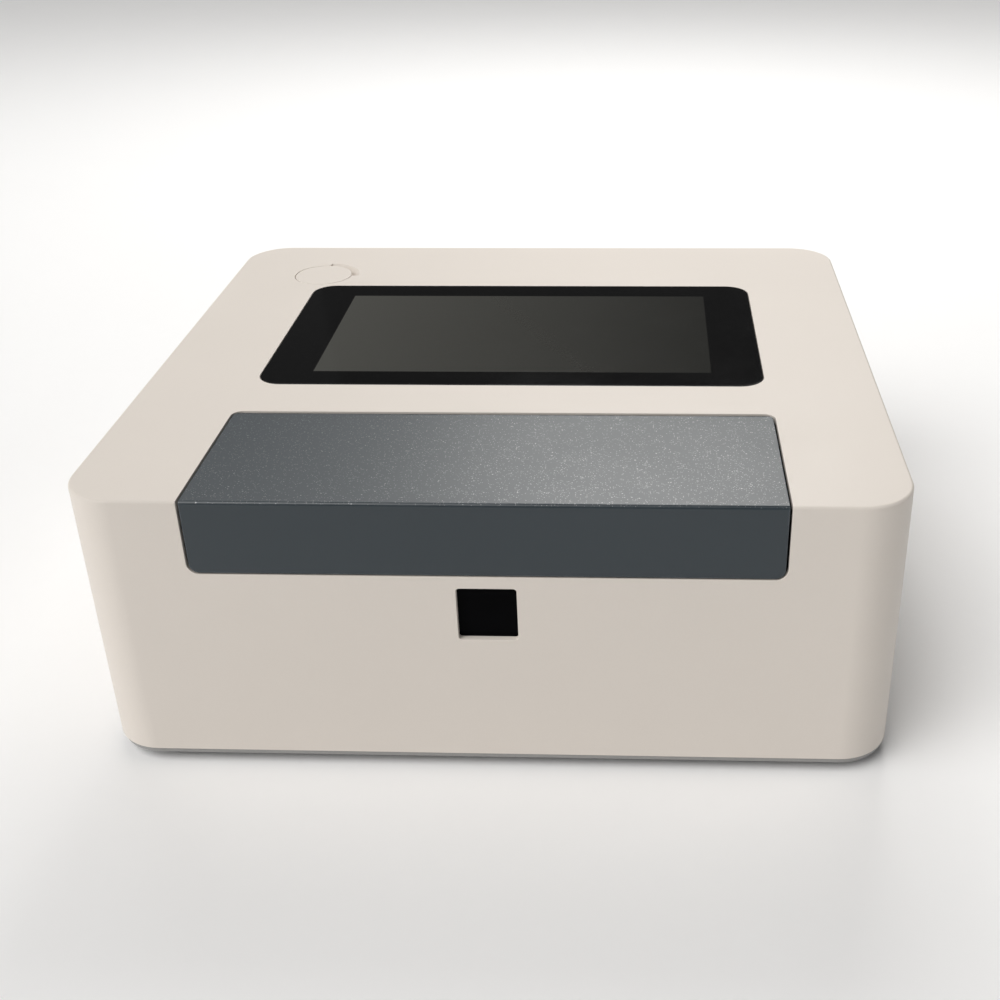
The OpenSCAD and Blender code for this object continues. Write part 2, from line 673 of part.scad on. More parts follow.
// Plates with a narrow upright slit, at the lamp side and at the sample side
module slit_plates() color(BLACK) {
    difference() {
        box([-bench_w/2 - 1, slit_y - 8, beam_z - 8], [-bench_w/2, slit_y + 8, beam_z + 8]);
        box([-bench_w/2 - 2, slit_y - 0.5, beam_z - 4], [-bench_w/2 + 1, slit_y + 0.5, beam_z + 4]);
    }
    difference() {
        box([-8, bench_front_y + bench_wall, beam_z - 8], [8, bench_front_y + bench_wall + 1, beam_z + 8]);
        box([-0.5, bench_front_y + bench_wall - 1, beam_z - 4], [0.5, bench_front_y + bench_wall + 2, beam_z + 4]);
    }
}

// Turntable on its shaft, and the ruled grating block that stands on it
grating_w = 18;
module grating_table() color(ALUMINIUM) translate([grating_at[0], grating_at[1], 0]) {
    translate([0, 0, bench_floor_z + 0.6]) cylinder(h = 4, d = 26);
    translate([0, 0, bench_floor_z - 12]) cylinder(h = 13, d = 4);
    rotate([0, 0, grating_turn()])
        box([-9, -grating_w/2, bench_floor_z + 4], [-3.5, grating_w/2, beam_z + 9]);
}
module grating() color(GLASS) translate([grating_at[0], grating_at[1], 0]) rotate([0, 0, grating_turn()])
    box([-3.5, -grating_w/2, beam_z - 9], [0, grating_w/2, beam_z + 9]);

// Small steppers: one under the bench floor for the grating, one in the lamp block for the filters
module small_motor(l) difference() {
    cylinder(h = l, d = small_motor_d - 0.1);
    translate([0, 0, l - 8]) cylinder(h = 9, d = 4 + 2*run_gap);
}
module small_motors() color(STEEL) {
    translate([grating_at[0], grating_at[1], bench_floor_z - 5 - small_motor_l]) small_motor(small_motor_l);
    translate([lamp_block_right - small_motor_l, slit_y + wheel_r, beam_z])
        rotate([0, 90, 0]) small_motor(small_motor_l);
}

// Lamp block: light channel, lamp chamber and the filter motor's seat in one casting on a foot
lamp_block_left = -114;
lamp_block_right = -80;
module lamp_block() color(ALUMINIUM) difference() {
    union() {
        box([lamp_block_left, slit_y - 12, 50], [lamp_block_right, slit_y + wheel_r + 10, 84]);
        box([lamp_block_left, slit_y - 12, deck_z], [lamp_block_left + 22, slit_y + 14, 50]);
    }
    rod_x(lamp_x, lamp_block_right + 1, slit_y, beam_z, 13);
    rod_z(52, 85, lamp_x, slit_y, 16);
    rod_x(lamp_block_right - small_motor_l - 0.1, lamp_block_right + 1, slit_y + wheel_r, beam_z, small_motor_d);
}

// Halogen capsule on its ceramic base
module lamp() color(GLASS) {
    rod_z(52, 59, lamp_x, slit_y, 12);
    rod_z(59, 71, lamp_x, slit_y, 9);
    translate([lamp_x, slit_y, 71]) sphere(d = 9);
}

// Double convex lens lying along X, d across, t thick in the middle and half that at its rim
module lens(d, t) rotate([0, 90, 0]) rotate_extrude() polygon(concat(
    [for (i = [0:6]) let (x = d/2*i/6) [x, t/4*((x*2/d)*(x*2/d) - 2)]],
    [for (i = [6:-1:0]) let (x = d/2*i/6) [x, t/4*(2 - (x*2/d)*(x*2/d))]]));
module lenses() color(GLASS) {
    translate([lamp_block_right - 5, slit_y, beam_z]) lens(12.9, 5);
    translate([0, bench_front_y + bench_wall/2, beam_z]) rotate([0, 0, 90]) lens(11.9, 3.6);
}

module filter_wheel() color(DARK) translate([wheel_x, slit_y + wheel_r, beam_z]) rotate([0, 90, 0])
    difference() {
        union() {
            translate([0, 0, -wheel_t/2]) cylinder(h = wheel_t, r = wheel_r + filter_d/2 + 1);
            translate([0, 0, -wheel_t/2]) cylinder(h = wheel_t + 1, d = 8);
            translate([0, 0, -11]) cylinder(h = 11, d = 4);
        }
        for (a = [0:60:300]) rotate([0, 0, a + 30])
            translate([wheel_r, 0, -wheel_t]) cylinder(h = 2*wheel_t, d = filter_d);
    }
module filters() color(GLASS) translate([wheel_x, slit_y + wheel_r, beam_z]) rotate([0, 90, 0])
    for (a = [0:60:300]) rotate([0, 0, a + 30])
        translate([wheel_r, 0, -1]) cylinder(h = 2, d = filter_d - 0.1);

// ---- Tube well ----

module vial_well() color(BLACK) difference() {
    union() {
        rod_z(deck_z, collar_z, tube_x, tube_y, 23);
        rod_z(collar_z - 3, collar_z, tube_x, tube_y, 32);
        rod_z(deck_z, deck_z + 3, tube_x, tube_y, 29);
    }
    rod_z(collar_z - tube_depth, collar_z + 1, tube_x, tube_y, tube_bore);
    rod_x(tube_x - 20, tube_x + 20, tube_y, tube_led_z, 5.2);
}

// Light source on the left of the tube, detector on the right
module vial_sensors() color(BOARD) for (s = [-1, 1]) {
    box([tube_x + s*14 - 0.8, tube_y - 8, tube_led_z - 9], [tube_x + s*14 + 0.8, tube_y + 8, tube_led_z + 9]);
    rod_x(tube_x + (s > 0 ? 9.5 : -13.5), tube_x + (s > 0 ? 13.5 : -9.5), tube_y, tube_led_z, 5);
}

module tube_cap() color(OFF_WHITE) {
    translate([tube_x, tube_y, 0]) rotate_extrude() polygon(concat(
        [[0, seat_z + seal_t], [cap_d/2, seat_z + seal_t]],
        arc(cap_d/2 - 0.4, top_z - 0.4, 0.4, 0, 90, 4), [[0, top_z]]));
    difference() {
        rod_z(seat_z - 2.5, seat_z + seal_t + 0.1, tube_x, tube_y, 21);
        rod_z(seat_z - 3, seat_z + seal_t, tube_x, tube_y, 18);
    }
}
module cap_seal() color(DARK) difference() {
    rod_z(seat_z + 0.05, seat_z + seal_t, tube_x, tube_y, cap_d - 0.4);
    rod_z(seat_z - 1, seat_z + 1, tube_x, tube_y, 21.2);
}

// ---- Electronics and rear panel ----

module rear_panel() color(GREY) difference() {
    box([bay_x - bay_w/2 - bay_rim, panel_y - panel_t, bay_z - bay_rim],
        [bay_x + bay_w/2 + bay_rim, panel_y, bay_z + bay_h + bay_rim]);
    for (p = panel_screw_points()) rod_y(panel_y - 5, panel_y + 1, p[0], p[1], screw_d);
    // air slots in front of the fan
    for (i = [-4:4]) let (x = 4*i, h = 2*sqrt(17.5*17.5 - x*x))
        box([fan_x + x - 1.1, panel_y - 5, fan_z - h/2], [fan_x + x + 1.1, panel_y + 1, fan_z + h/2]);
    for (sx = [-1, 1], sz = [-1, 1]) rod_y(panel_y - 5, panel_y + 1, fan_x + 16*sx, fan_z + 16*sz, screw_d);
    translate([switch_x, panel_y - 1, switch_z]) cube([19.4, 6, 13.4], center = true);
    rod_y(panel_y - 5, panel_y + 1, socket_x, board_top_z + 6, 8.4);
    for (x = usb_xs) box([x - 6.9, panel_y - 5, board_top_z - 0.2], [x + 6.9, panel_y + 1, board_top_z + 6.4]);
    box([network_x - 8.3, panel_y - 5, board_top_z - 0.2], [network_x + 8.3, panel_y + 1, board_top_z + 13.7]);
}

module mainboard() color(BOARD) difference() {
    box([board_left_x, board_front_y, board_z], [board_right_x, panel_y - panel_t - 0.5, board_top_z]);
    for (p = standoff_points()) rod_z(board_z - 1, board_top_z + 1, p[0], p[1], screw_d + 0.2);
}
function standoff_points() =
    [for (x = [board_left_x + 5, board_right_x - 5], y = [board_front_y + 5, panel_y - 20]) [x, y]];
module board_standoffs() color(BRASS) for (p = standoff_points()) difference() {
    rod_z(deck_z, board_z, p[0], p[1], 6);
    rod_z(deck_z + 2, board_z + 1, p[0], p[1], screw_d - 0.5);
}

// Chips, capacitors and plugs on the three boards: [x, y, board surface, width, depth, height]
module board_parts() color(BLACK) {
    for (c = [[-40, 84, board_top_z, 16, 16, 2], [-10, 86, board_top_z, 12, 12, 2],
              [25, 80, board_top_z, 22, 14, 3], [0, board_front_y + 5, board_top_z, 26, 5, 4],
              [100, 34, deck_z + 8 + board_t, 24, 24, 18], [100, 70, deck_z + 8 + board_t, 16, 30, 12]])
        translate([c[0] - c[3]/2, c[1] - c[4]/2, c[2]]) cube([c[3], c[4], c[5]]);
    for (x = [34, 46]) rod_z(board_top_z, board_top_z + 12, x, 100, 8);
}

module usb_sockets() color(STEEL) for (x = usb_xs) difference() {
    box([x - 6.6, panel_y - 16, board_top_z], [x + 6.6, panel_y + 1.5, board_top_z + 6.1]);
    box([x - 6.1, panel_y - 10, board_top_z + 0.5], [x + 6.1, panel_y + 2, board_top_z + 5.6]);
}
module network_socket() color(STEEL) difference() {
    box([network_x - 8, panel_y - 18, board_top_z], [network_x + 8, panel_y + 1, board_top_z + 13.4]);
    box([network_x - 5.9, panel_y - 12, board_top_z + 2.6], [network_x + 5.9, panel_y + 2, board_top_z + 10.4]);
    box([network_x - 3, panel_y - 12, board_top_z + 1], [network_x + 3, panel_y + 2, board_top_z + 3]);
}
module power_socket() color(BLACK) {
    difference() {
        union() {
            box([socket_x - 4.5, panel_y - 15, board_top_z], [socket_x + 4.5, panel_y - panel_t - 0.2, board_top_z + 11]);
            rod_y(panel_y - 3, panel_y + 1, socket_x, board_top_z + 6, 8);
        }
        rod_y(panel_y - 9.5, panel_y + 2, socket_x, board_top_z + 6, 5.6);
    }
    rod_y(panel_y - 10, panel_y, socket_x, board_top_z + 6, 2.1);
}

// Rocker switch: a snap-in body with a bezel, and the rocker that tilts on its pivot
rocker_y = panel_y - 2;
module power_switch() color(BLACK) difference() {
    union() {
        translate([switch_x, panel_y + 0.75, switch_z]) cube([21, 1.5, 15], center = true);
        translate([switch_x, panel_y - 6.9, switch_z]) cube([19, 14, 13], center = true);
    }
    translate([switch_x, panel_y - 2.4, switch_z]) cube([16.6, 11, 10.6], center = true);
    rod_z(switch_z - 6, switch_z + 6, switch_x, rocker_y, 2 + 2*run_gap);
}
rocker_tilt = 8;                      // either way from the middle; at rest it is tilted to off
module power_rocker() color(BLACK) translate([switch_x, rocker_y, 0]) rotate([0, 0, -rocker_tilt]) {
    translate([0, 0, switch_z - 4.9]) linear_extrude(9.8) polygon(
        [[-7.7, 3], [0, 2.2], [7.7, 3], [7.2, 0], [2, -4], [-2, -4], [-7.2, 0]]);
    rod_z(switch_z - 5.9, switch_z + 5.9, 0, 0, 2);
}

module fan_frame() color(BLACK) {
    difference() {
        box([fan_x - fan_w/2, fan_y - fan_t, fan_z - fan_w/2], [fan_x + fan_w/2, fan_y, fan_z + fan_w/2]);
        rod_y(fan_y - fan_t - 1, fan_y + 1, fan_x, fan_z, 38.4);
        for (sx = [-1, 1], sz = [-1, 1])
            rod_y(fan_y - fan_t - 1, fan_y + 1, fan_x + 16*sx, fan_z + 16*sz, screw_d + 0.4);
    }
    difference() {
        union() {
            rod_y(fan_y - fan_t, fan_y - fan_t + 1.5, fan_x, fan_z, 18);
            for (a = [0, 120, 240]) translate([fan_x, fan_y - fan_t + 0.75, fan_z]) rotate([0, a, 0])
                translate([13.5, 0, 0]) cube([13, 1.5, 2.5], center = true);
            rod_y(fan_y - fan_t, fan_y - fan_t + 5, fan_x, fan_z, 7);
        }
        rod_y(fan_y - fan_t + 1, fan_y - fan_t + 6, fan_x, fan_z, 2 + 2*run_gap);
    }
}
module fan_rotor() color(DARK) {
    difference() {
        rod_y(fan_y - fan_t + 2, fan_y - 1, fan_x, fan_z, 18);
        rod_y(fan_y - fan_t + 1, fan_y - 3.5, fan_x, fan_z, 15);
    }
    rod_y(fan_y - fan_t + 1.4, fan_y - 3, fan_x, fan_z, 2);
    intersection() {
        rod_y(fan_y - fan_t + 2, fan_y - 1, fan_x, fan_z, 37);
        for (a = [0:360/7:359]) translate([fan_x, fan_y - 4.5, fan_z]) rotate([0, a, 0]) rotate([38, 0, 0])
            translate([13.4, 0, 0]) cube([11.4, 1.2, 9], center = true);
    }
}

module driver_board() color(BOARD) {
    box([76, 14, deck_z + 8], [126, 90, deck_z + 8 + board_t]);
    for (x = [80, 122], y = [18, 86]) rod_z(deck_z, deck_z + 8, x, y, 6);
}

housing();
base_plate();
foot_front_left();
foot_front_right();
foot_rear_left();
foot_rear_right();
foot_screws();
cover_screws();
inner_screws();
lid();
lid_liner();
hinge_pins();
lid_seal();
lid_magnets();
catch_plates();
cover_glass();
lcd_panel();
display_frame();
display_board();
display_ribbon();
scan_window();
scan_engine();
sample_tub();
cell_carriage();
carriage_bushes();
cell_springs();
guide_rods();
lead_nut();
lead_screw();
carriage_motor();
detector_board();
optics_base();
optics_cover();
lamp_block();
lamp();
lenses();
filter_wheel();
filters();
small_motors();
slit_plates();
concave_mirrors();
grating();
grating_table();
vial_well();
vial_sensors();
tube_cap();
cap_seal();
rear_panel();
mainboard();
board_parts();
board_standoffs();
usb_sockets();
network_socket();
power_socket();
power_switch();
power_rocker();
fan_frame();
fan_rotor();
driver_board();
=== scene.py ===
"""Looks of a bench spectrophotometer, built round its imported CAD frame.

Lengths in the properties are metres. The frame's X points right, Y points back and Z points up.
"""
import json
from math import pi, radians

import bmesh
import bpy
from bpy.props import FloatProperty, FloatVectorProperty, IntProperty, PointerProperty
from mathutils import Matrix, Vector


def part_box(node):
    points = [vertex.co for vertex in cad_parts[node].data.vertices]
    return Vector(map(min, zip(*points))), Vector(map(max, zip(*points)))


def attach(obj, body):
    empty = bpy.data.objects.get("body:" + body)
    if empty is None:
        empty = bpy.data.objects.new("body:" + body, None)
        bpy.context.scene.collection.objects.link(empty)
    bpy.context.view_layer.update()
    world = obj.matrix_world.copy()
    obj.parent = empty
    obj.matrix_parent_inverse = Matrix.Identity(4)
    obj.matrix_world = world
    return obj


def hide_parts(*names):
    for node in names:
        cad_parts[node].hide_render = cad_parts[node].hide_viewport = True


bl_info = {
    "name": "Bench Spectrophotometer",
    "version": (1, 0, 0),
    "blender": (4, 5, 0),
    "location": "3D View > Sidebar > Instrument",
    "description": "Finishes, small parts and studio for a bench spectrophotometer",
    "category": "Object",
}

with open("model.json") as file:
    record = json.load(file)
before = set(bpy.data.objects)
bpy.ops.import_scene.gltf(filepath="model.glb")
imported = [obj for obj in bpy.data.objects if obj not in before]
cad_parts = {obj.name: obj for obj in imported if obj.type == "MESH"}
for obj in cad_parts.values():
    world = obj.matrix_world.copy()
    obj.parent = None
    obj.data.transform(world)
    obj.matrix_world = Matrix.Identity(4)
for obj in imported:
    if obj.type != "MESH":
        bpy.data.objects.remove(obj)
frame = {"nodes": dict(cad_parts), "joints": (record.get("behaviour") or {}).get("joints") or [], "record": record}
NODES = frame["nodes"]
NODE_BODY = {node: body for body, nodes in frame["record"]["behaviour"]["bodies"].items() for node in nodes}
JOINTS = {joint["name"]: joint for joint in frame["joints"]}
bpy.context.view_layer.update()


# ---------------------------------------------------------------- settings

class CoverSettings(bpy.types.PropertyGroup):
    """Paints and edges of the cover and the lid"""
    paint: FloatVectorProperty(name="Cover paint", description="Warm off-white of the moulded cover",
        subtype="COLOR", size=3, min=0, max=1, default=(0.765, 0.708, 0.648))
    lid_paint: FloatVectorProperty(name="Lid paint", description="Slate metallic of the flip lid",
        subtype="COLOR", size=3, min=0, max=1, default=(0.0108, 0.0222, 0.0308))
    flake_size: FloatProperty(name="Flake size", description="Distance between the lid's metal flakes",
        subtype="DISTANCE", unit="LENGTH", min=0.0001, max=0.002, default=0.00052)
    edge: FloatProperty(name="Edge", description="Width of the fine bevel on moulded edges",
        subtype="DISTANCE", unit="LENGTH", min=0, max=0.001, default=0.00028)
    lid_ribs: IntProperty(name="Lid ribs", description="Cross ribs under the lid's liner",
        min=2, max=16, default=7)
    foot_ribs: IntProperty(name="Foot ribs", description="Grip rings round each rubber foot",
        min=0, max=6, default=2)


class DisplaySettings(bpy.types.PropertyGroup):
    """The cover glass and the picture area behind it"""
    print_colour: FloatVectorProperty(name="Print", description="Black print behind the glass",
        subtype="COLOR", size=3, min=0, max=1, default=(0.0022, 0.0022, 0.0023))
    picture_colour: FloatVectorProperty(name="Picture", description="Picture area while it is switched off",
        subtype="COLOR", size=3, min=0, max=1, default=(0.026, 0.026, 0.0235))
    picture_size: FloatVectorProperty(name="Picture size", description="Width and depth of the picture area",
        subtype="XYZ", unit="LENGTH", size=2, default=(0.1537, 0.0849))
    picture_shift: FloatProperty(name="Picture shift",
        description="How far the picture lies behind the middle of the glass",
        subtype="DISTANCE", unit="LENGTH", min=-0.01, max=0.01, default=-0.0005)


class StageSettings(bpy.types.PropertyGroup):
    """Camera, lights and floor"""
    camera_at: FloatVectorProperty(name="Camera", description="Where the camera stands",
        subtype="TRANSLATION", unit="LENGTH", size=3, default=(0.05055, -0.49737, 0.30757))
    camera_turn: FloatVectorProperty(name="Camera turn",
        description="Turns about X, Y and Z from looking along Y",
        subtype="EULER", unit="ROTATION", size=3, default=(-0.5057, 0.0135, 0.0463))
    focal_mm: FloatProperty(name="Lens", description="Focal length in millimetres",
        min=10, max=200, default=48.02)
    shift: FloatVectorProperty(name="Lens shift", description="Sideways and upward shift of the lens",
        size=2, default=(-0.0872, 0.0112))
    floor: FloatVectorProperty(name="Floor", description="Colour of the floor",
        subtype="COLOR", size=3, min=0, max=1, default=(0.94, 0.94, 0.94))


# ---------------------------------------------------------------- shader node groups

FLAKE_RADIUS = 0.33             # of a paint flake, as a share of the distance between flakes


def new_group(name, inputs, outputs):
    """A shader node group with its sockets: (name, kind, default) for inputs and (name, kind) for outputs."""
    group = bpy.data.node_groups.new(name, "ShaderNodeTree")
    for socket, kind, default in inputs:
        group.interface.new_socket(socket, in_out="INPUT", socket_type=kind).default_value = default
    for socket, kind in outputs:
        group.interface.new_socket(socket, in_out="OUTPUT", socket_type=kind)
    return group, group.nodes.new("NodeGroupInput"), group.nodes.new("NodeGroupOutput")


def add_node(tree, kind, settings=None, **inputs):
    """A node with its settings, each named input given a value or linked from an output socket."""
    made = tree.nodes.new(kind)
    for key, value in (settings or {}).items():
        setattr(made, key, value)
    for key, value in inputs.items():
        socket = made.inputs[int(key[1:])] if key[0] == "_" else made.inputs[key.replace("_", " ")]
        if isinstance(value, bpy.types.NodeSocket):
            tree.links.new(value, socket)
        else:
            socket.default_value = value
    return made


def math_node(tree, operation, a, b=0.0, clamp=False):
    """The result of one Math node."""
    made = add_node(tree, "ShaderNodeMath", {"operation": operation, "use_clamp": clamp}, _0=a, _1=b)
    return made.outputs[0]


def object_place(tree):
    """Where a point lies in the piece's own coordinates."""
    return add_node(tree, "ShaderNodeTexCoord").outputs["Object"]


def grain_group():
    """Fine even grain: a height, and a tone that varies a little about one."""
    group, given, result = new_group("Fine grain",
        [("Size", "NodeSocketFloat", 0.001), ("Contrast", "NodeSocketFloat", 0.05)],
        [("Height", "NodeSocketFloat"), ("Tone", "NodeSocketFloat")])
    scale = math_node(group, "DIVIDE", 1.0, given.outputs["Size"])
    noise = add_node(group, "ShaderNodeTexNoise", Vector=object_place(group), Scale=scale,
                     Detail=3.0, Roughness=0.6)
    centred = math_node(group, "SUBTRACT", noise.outputs[0], 0.5)
    tone = math_node(group, "ADD", math_node(group, "MULTIPLY", centred, given.outputs["Contrast"]), 1.0)
    group.links.new(noise.outputs[0], result.inputs["Height"])
    group.links.new(tone, result.inputs["Tone"])
    return group


def handling_group():
    """Slow changes of gloss where a surface has been touched and wiped."""
    group, given, result = new_group("Handling",
        [("Size", "NodeSocketFloat", 0.04), ("Low", "NodeSocketFloat", 0.4),
         ("High", "NodeSocketFloat", 0.5)],
        [("Roughness", "NodeSocketFloat")])
    scale = math_node(group, "DIVIDE", 1.0, given.outputs["Size"])
    noise = add_node(group, "ShaderNodeTexNoise", Vector=object_place(group), Scale=scale, Detail=5.0,
                     Roughness=0.62, Distortion=0.6)
    spread = add_node(group, "ShaderNodeMapRange", Value=noise.outputs[0], From_Min=0.3, From_Max=0.7,
                      To_Min=given.outputs["Low"], To_Max=given.outputs["High"])
    group.links.new(spread.outputs[0], result.inputs["Roughness"])
    return group


def edge_group():
    """A mask that rises where two faces meet, broken up as real wear is: worn edges on most finishes, painted
    highlight on the edges of the cover and the lid.
    """
    group, given, result = new_group("Worn edge and painted highlight",
        [("Width", "NodeSocketFloat", 0.0006), ("Amount", "NodeSocketFloat", 0.5)],
        [("Mask", "NodeSocketFloat")])
    rounded = add_node(group, "ShaderNodeBevel", {"samples": 4}, Radius=given.outputs["Width"])
    normal = add_node(group, "ShaderNodeNewGeometry").outputs["Normal"]
    alike = add_node(group, "ShaderNodeVectorMath", {"operation": "DOT_PRODUCT"},
                     _0=rounded.outputs[0], _1=normal).outputs["Value"]
    turned = add_node(group, "ShaderNodeMapRange", Value=alike, From_Min=0.995, From_Max=0.90)
    noise = add_node(group, "ShaderNodeTexNoise", Vector=object_place(group), Scale=220.0, Detail=4.0)
    broken = add_node(group, "ShaderNodeMapRange", Value=noise.outputs[0], From_Min=0.42, From_Max=0.62)
    mask = math_node(group, "MULTIPLY", turned.outputs[0], broken.outputs[0])
    mask = math_node(group, "MULTIPLY", mask, given.outputs["Amount"], clamp=True)
    group.links.new(mask, result.inputs["Mask"])
    return group


def flake_group():
    """Small facets in paint: a mask for the few that stand out, as round dots."""
    group, given, result = new_group("Flakes",
        [("Size", "NodeSocketFloat", 0.0004), ("Share", "NodeSocketFloat", 0.1)],
        [("Glint", "NodeSocketFloat")])
    scale = math_node(group, "DIVIDE", 1.0, given.outputs["Size"])
    cells = add_node(group, "ShaderNodeTexVoronoi", Vector=object_place(group), Scale=scale)
    parts = add_node(group, "ShaderNodeSeparateColor", Color=cells.outputs["Color"])
    least = math_node(group, "SUBTRACT", 1.0, given.outputs["Share"])
    chosen = math_node(group, "GREATER_THAN", parts.outputs[0], least)
    dot = math_node(group, "LESS_THAN", cells.outputs["Distance"], FLAKE_RADIUS)
    bright = math_node(group, "ADD", math_node(group, "MULTIPLY", parts.outputs[1], 0.6), 0.4)
    mask = math_node(group, "MULTIPLY", math_node(group, "MULTIPLY", chosen, dot), bright)
    group.links.new(mask, result.inputs["Glint"])
    return group


def machined_group():
    """Long fine lines left by a tool: stretch is large across the lines and small along them."""
    group, given, result = new_group("Tool lines",
        [("Stretch", "NodeSocketVector", (50.0, 4000.0, 4000.0)), ("Contrast", "NodeSocketFloat", 0.2)],
        [("Height", "NodeSocketFloat"), ("Tone", "NodeSocketFloat")])
    place = add_node(group, "ShaderNodeVectorMath", {"operation": "MULTIPLY"},
                     _0=object_place(group), _1=given.outputs["Stretch"]).outputs[0]
    noise = add_node(group, "ShaderNodeTexNoise", Vector=place, Scale=1.0, Detail=3.0, Roughness=0.7)
    centred = math_node(group, "SUBTRACT", noise.outputs[0], 0.5)
    tone = math_node(group, "ADD", math_node(group, "MULTIPLY", centred, given.outputs["Contrast"]), 1.0)
    group.links.new(noise.outputs[0], result.inputs["Height"])
    group.links.new(tone, result.inputs["Tone"])
    return group


def dust_group():
    """A thin film of dust on faces that look up."""
    group, given, result = new_group("Dust",
        [("Amount", "NodeSocketFloat", 0.1)], [("Mask", "NodeSocketFloat")])
    normal = add_node(group, "ShaderNodeNewGeometry").outputs["Normal"]
    upward = add_node(group, "ShaderNodeSeparateXYZ", Vector=normal).outputs["Z"]
    up = add_node(group, "ShaderNodeMapRange", Value=upward, From_Min=0.5, From_Max=1.0)
    specks = add_node(group, "ShaderNodeTexNoise", Vector=object_place(group), Scale=900.0,
                      Detail=4.0, Roughness=0.7)
    fine = add_node(group, "ShaderNodeMapRange", Value=specks.outputs[0], From_Min=0.45, From_Max=0.85)
    mask = math_node(group, "MULTIPLY", up.outputs[0], fine.outputs[0])
    group.links.new(math_node(group, "MULTIPLY", mask, given.outputs["Amount"]), result.inputs["Mask"])
    return group


GROUPS = {}


def effect(tree, name, **inputs):
    """One of the shared effects placed in a material, with its own values."""
    builders = {"grain": grain_group, "handling": handling_group, "edge": edge_group,
                "flakes": flake_group, "lines": machined_group, "dust": dust_group}
    if name not in GROUPS:
        GROUPS[name] = builders[name]()
    return add_node(tree, "ShaderNodeGroup", {"node_tree": GROUPS[name]}, **inputs).outputs


# ---------------------------------------------------------------- materials

MATERIALS = {}
FLAKE_DEPTH = 0.0006            # below the lid's top, past which no flake shows
PICTURE_BLUR = 0.0002           # half the soft edge of the display's picture area
# Painted reflection: the picture area's colour is scaled by these tones, lighter towards its left end.
PAINTED_REFLECTION_TONES = (2.8, 0.85)     # at the picture's left and right ends
CORE_PITCH = 0.001              # between the cores of the flat cable


def new_material(name, **constants):
    """A material with one Principled BSDF, whose constants sit on its own sockets."""
    made = bpy.data.materials.new(name)
    made.use_nodes = True
    shader = made.node_tree.nodes["Principled BSDF"]
    for key, value in constants.items():
        shader.inputs[key.replace("_", " ")].default_value = value
    MATERIALS[name] = made
    return made.node_tree, shader


def tinted(tree, colour, tone):
    """A colour multiplied by a tone that varies over the surface."""
    made = add_node(tree, "ShaderNodeVectorMath", {"operation": "SCALE"}, _0=tuple(colour), Scale=tone)
    return made.outputs[0]


def blended(tree, mask, low, high):
    """A mix of two colours by a mask."""
    made = add_node(tree, "ShaderNodeMix", {"data_type": "RGBA"}, _0=mask)
    for socket, value in ((made.inputs[6], low), (made.inputs[7], high)):
        if isinstance(value, bpy.types.NodeSocket):
            tree.links.new(value, socket)
        else:
            socket.default_value = (*value, 1.0)
    return made.outputs[2]


def bumped(tree, shader, height, depth):
    """A bump of the given depth on the shader's normal."""
    made = add_node(tree, "ShaderNodeBump", Height=height, Distance=depth, Strength=1.0)
    tree.links.new(made.outputs[0], shader.inputs["Normal"])


def glossed(tree, shader, size, low, high):
    """Uneven gloss on the shader: patches of a size, between two roughnesses."""
    smear = effect(tree, "handling", Size=size, Low=low, High=high)
    tree.links.new(smear["Roughness"], shader.inputs["Roughness"])


def plain_finish(name, colour, grain=0.0008, contrast=0.08, depth=0.00001, rough=(0.4, 0.5), wear=None,
                 dust=0.0, **constants):
    """Moulded, painted or coated surface: grain, uneven gloss, and pale wear on the edges if asked for."""
    tree, shader = new_material(name, **constants)
    fine = effect(tree, "grain", Size=grain, Contrast=contrast)
    base = tinted(tree, colour, fine["Tone"])
    if wear:
        base = blended(tree, effect(tree, "edge", Width=wear[1], Amount=wear[2])["Mask"], base, wear[0])
    if dust:
        base = blended(tree, effect(tree, "dust", Amount=dust)["Mask"], base, (0.5, 0.49, 0.47))
    tree.links.new(base, shader.inputs["Base Color"])
    glossed(tree, shader, 0.035, *rough)
    bumped(tree, shader, fine["Height"], depth)


def metal_finish(name, colour, stretch, contrast=0.25, depth=0.000004, rough=(0.25, 0.38), **constants):
    """Bare metal with the lines of the tool that made it."""
    tree, shader = new_material(name, Metallic=1.0, **constants)
    lines = effect(tree, "lines", Stretch=stretch, Contrast=contrast)
    tree.links.new(tinted(tree, colour, lines["Tone"]), shader.inputs["Base Color"])
    glossed(tree, shader, 0.012, *rough)
    bumped(tree, shader, lines["Height"], depth)


def cover_paint():
    """Satin off-white with a faint texture, painted a little paler along its edges as a painted highlight."""
    colour = bpy.context.scene.cover_settings.paint
    tree, shader = new_material("Cover paint", Specular_IOR_Level=0.24, Diffuse_Roughness=0.1)
    fine = effect(tree, "grain", Size=0.0007, Contrast=0.028)
    broad = effect(tree, "grain", Size=0.06, Contrast=0.03)
    tone = math_node(tree, "MULTIPLY", fine["Tone"], broad["Tone"])
    # Painted highlight: the paint is made 12% paler along the edges.
    edge_highlight_mask = effect(tree, "edge", Width=0.0007, Amount=0.35)["Mask"]
    pale = tuple(min(1.0, channel*1.12) for channel in colour)
    tree.links.new(blended(tree, edge_highlight_mask, tinted(tree, colour, tone), pale), shader.inputs["Base Color"])
    glossed(tree, shader, 0.05, 0.40, 0.50)
    bumped(tree, shader, fine["Height"], 0.000012)


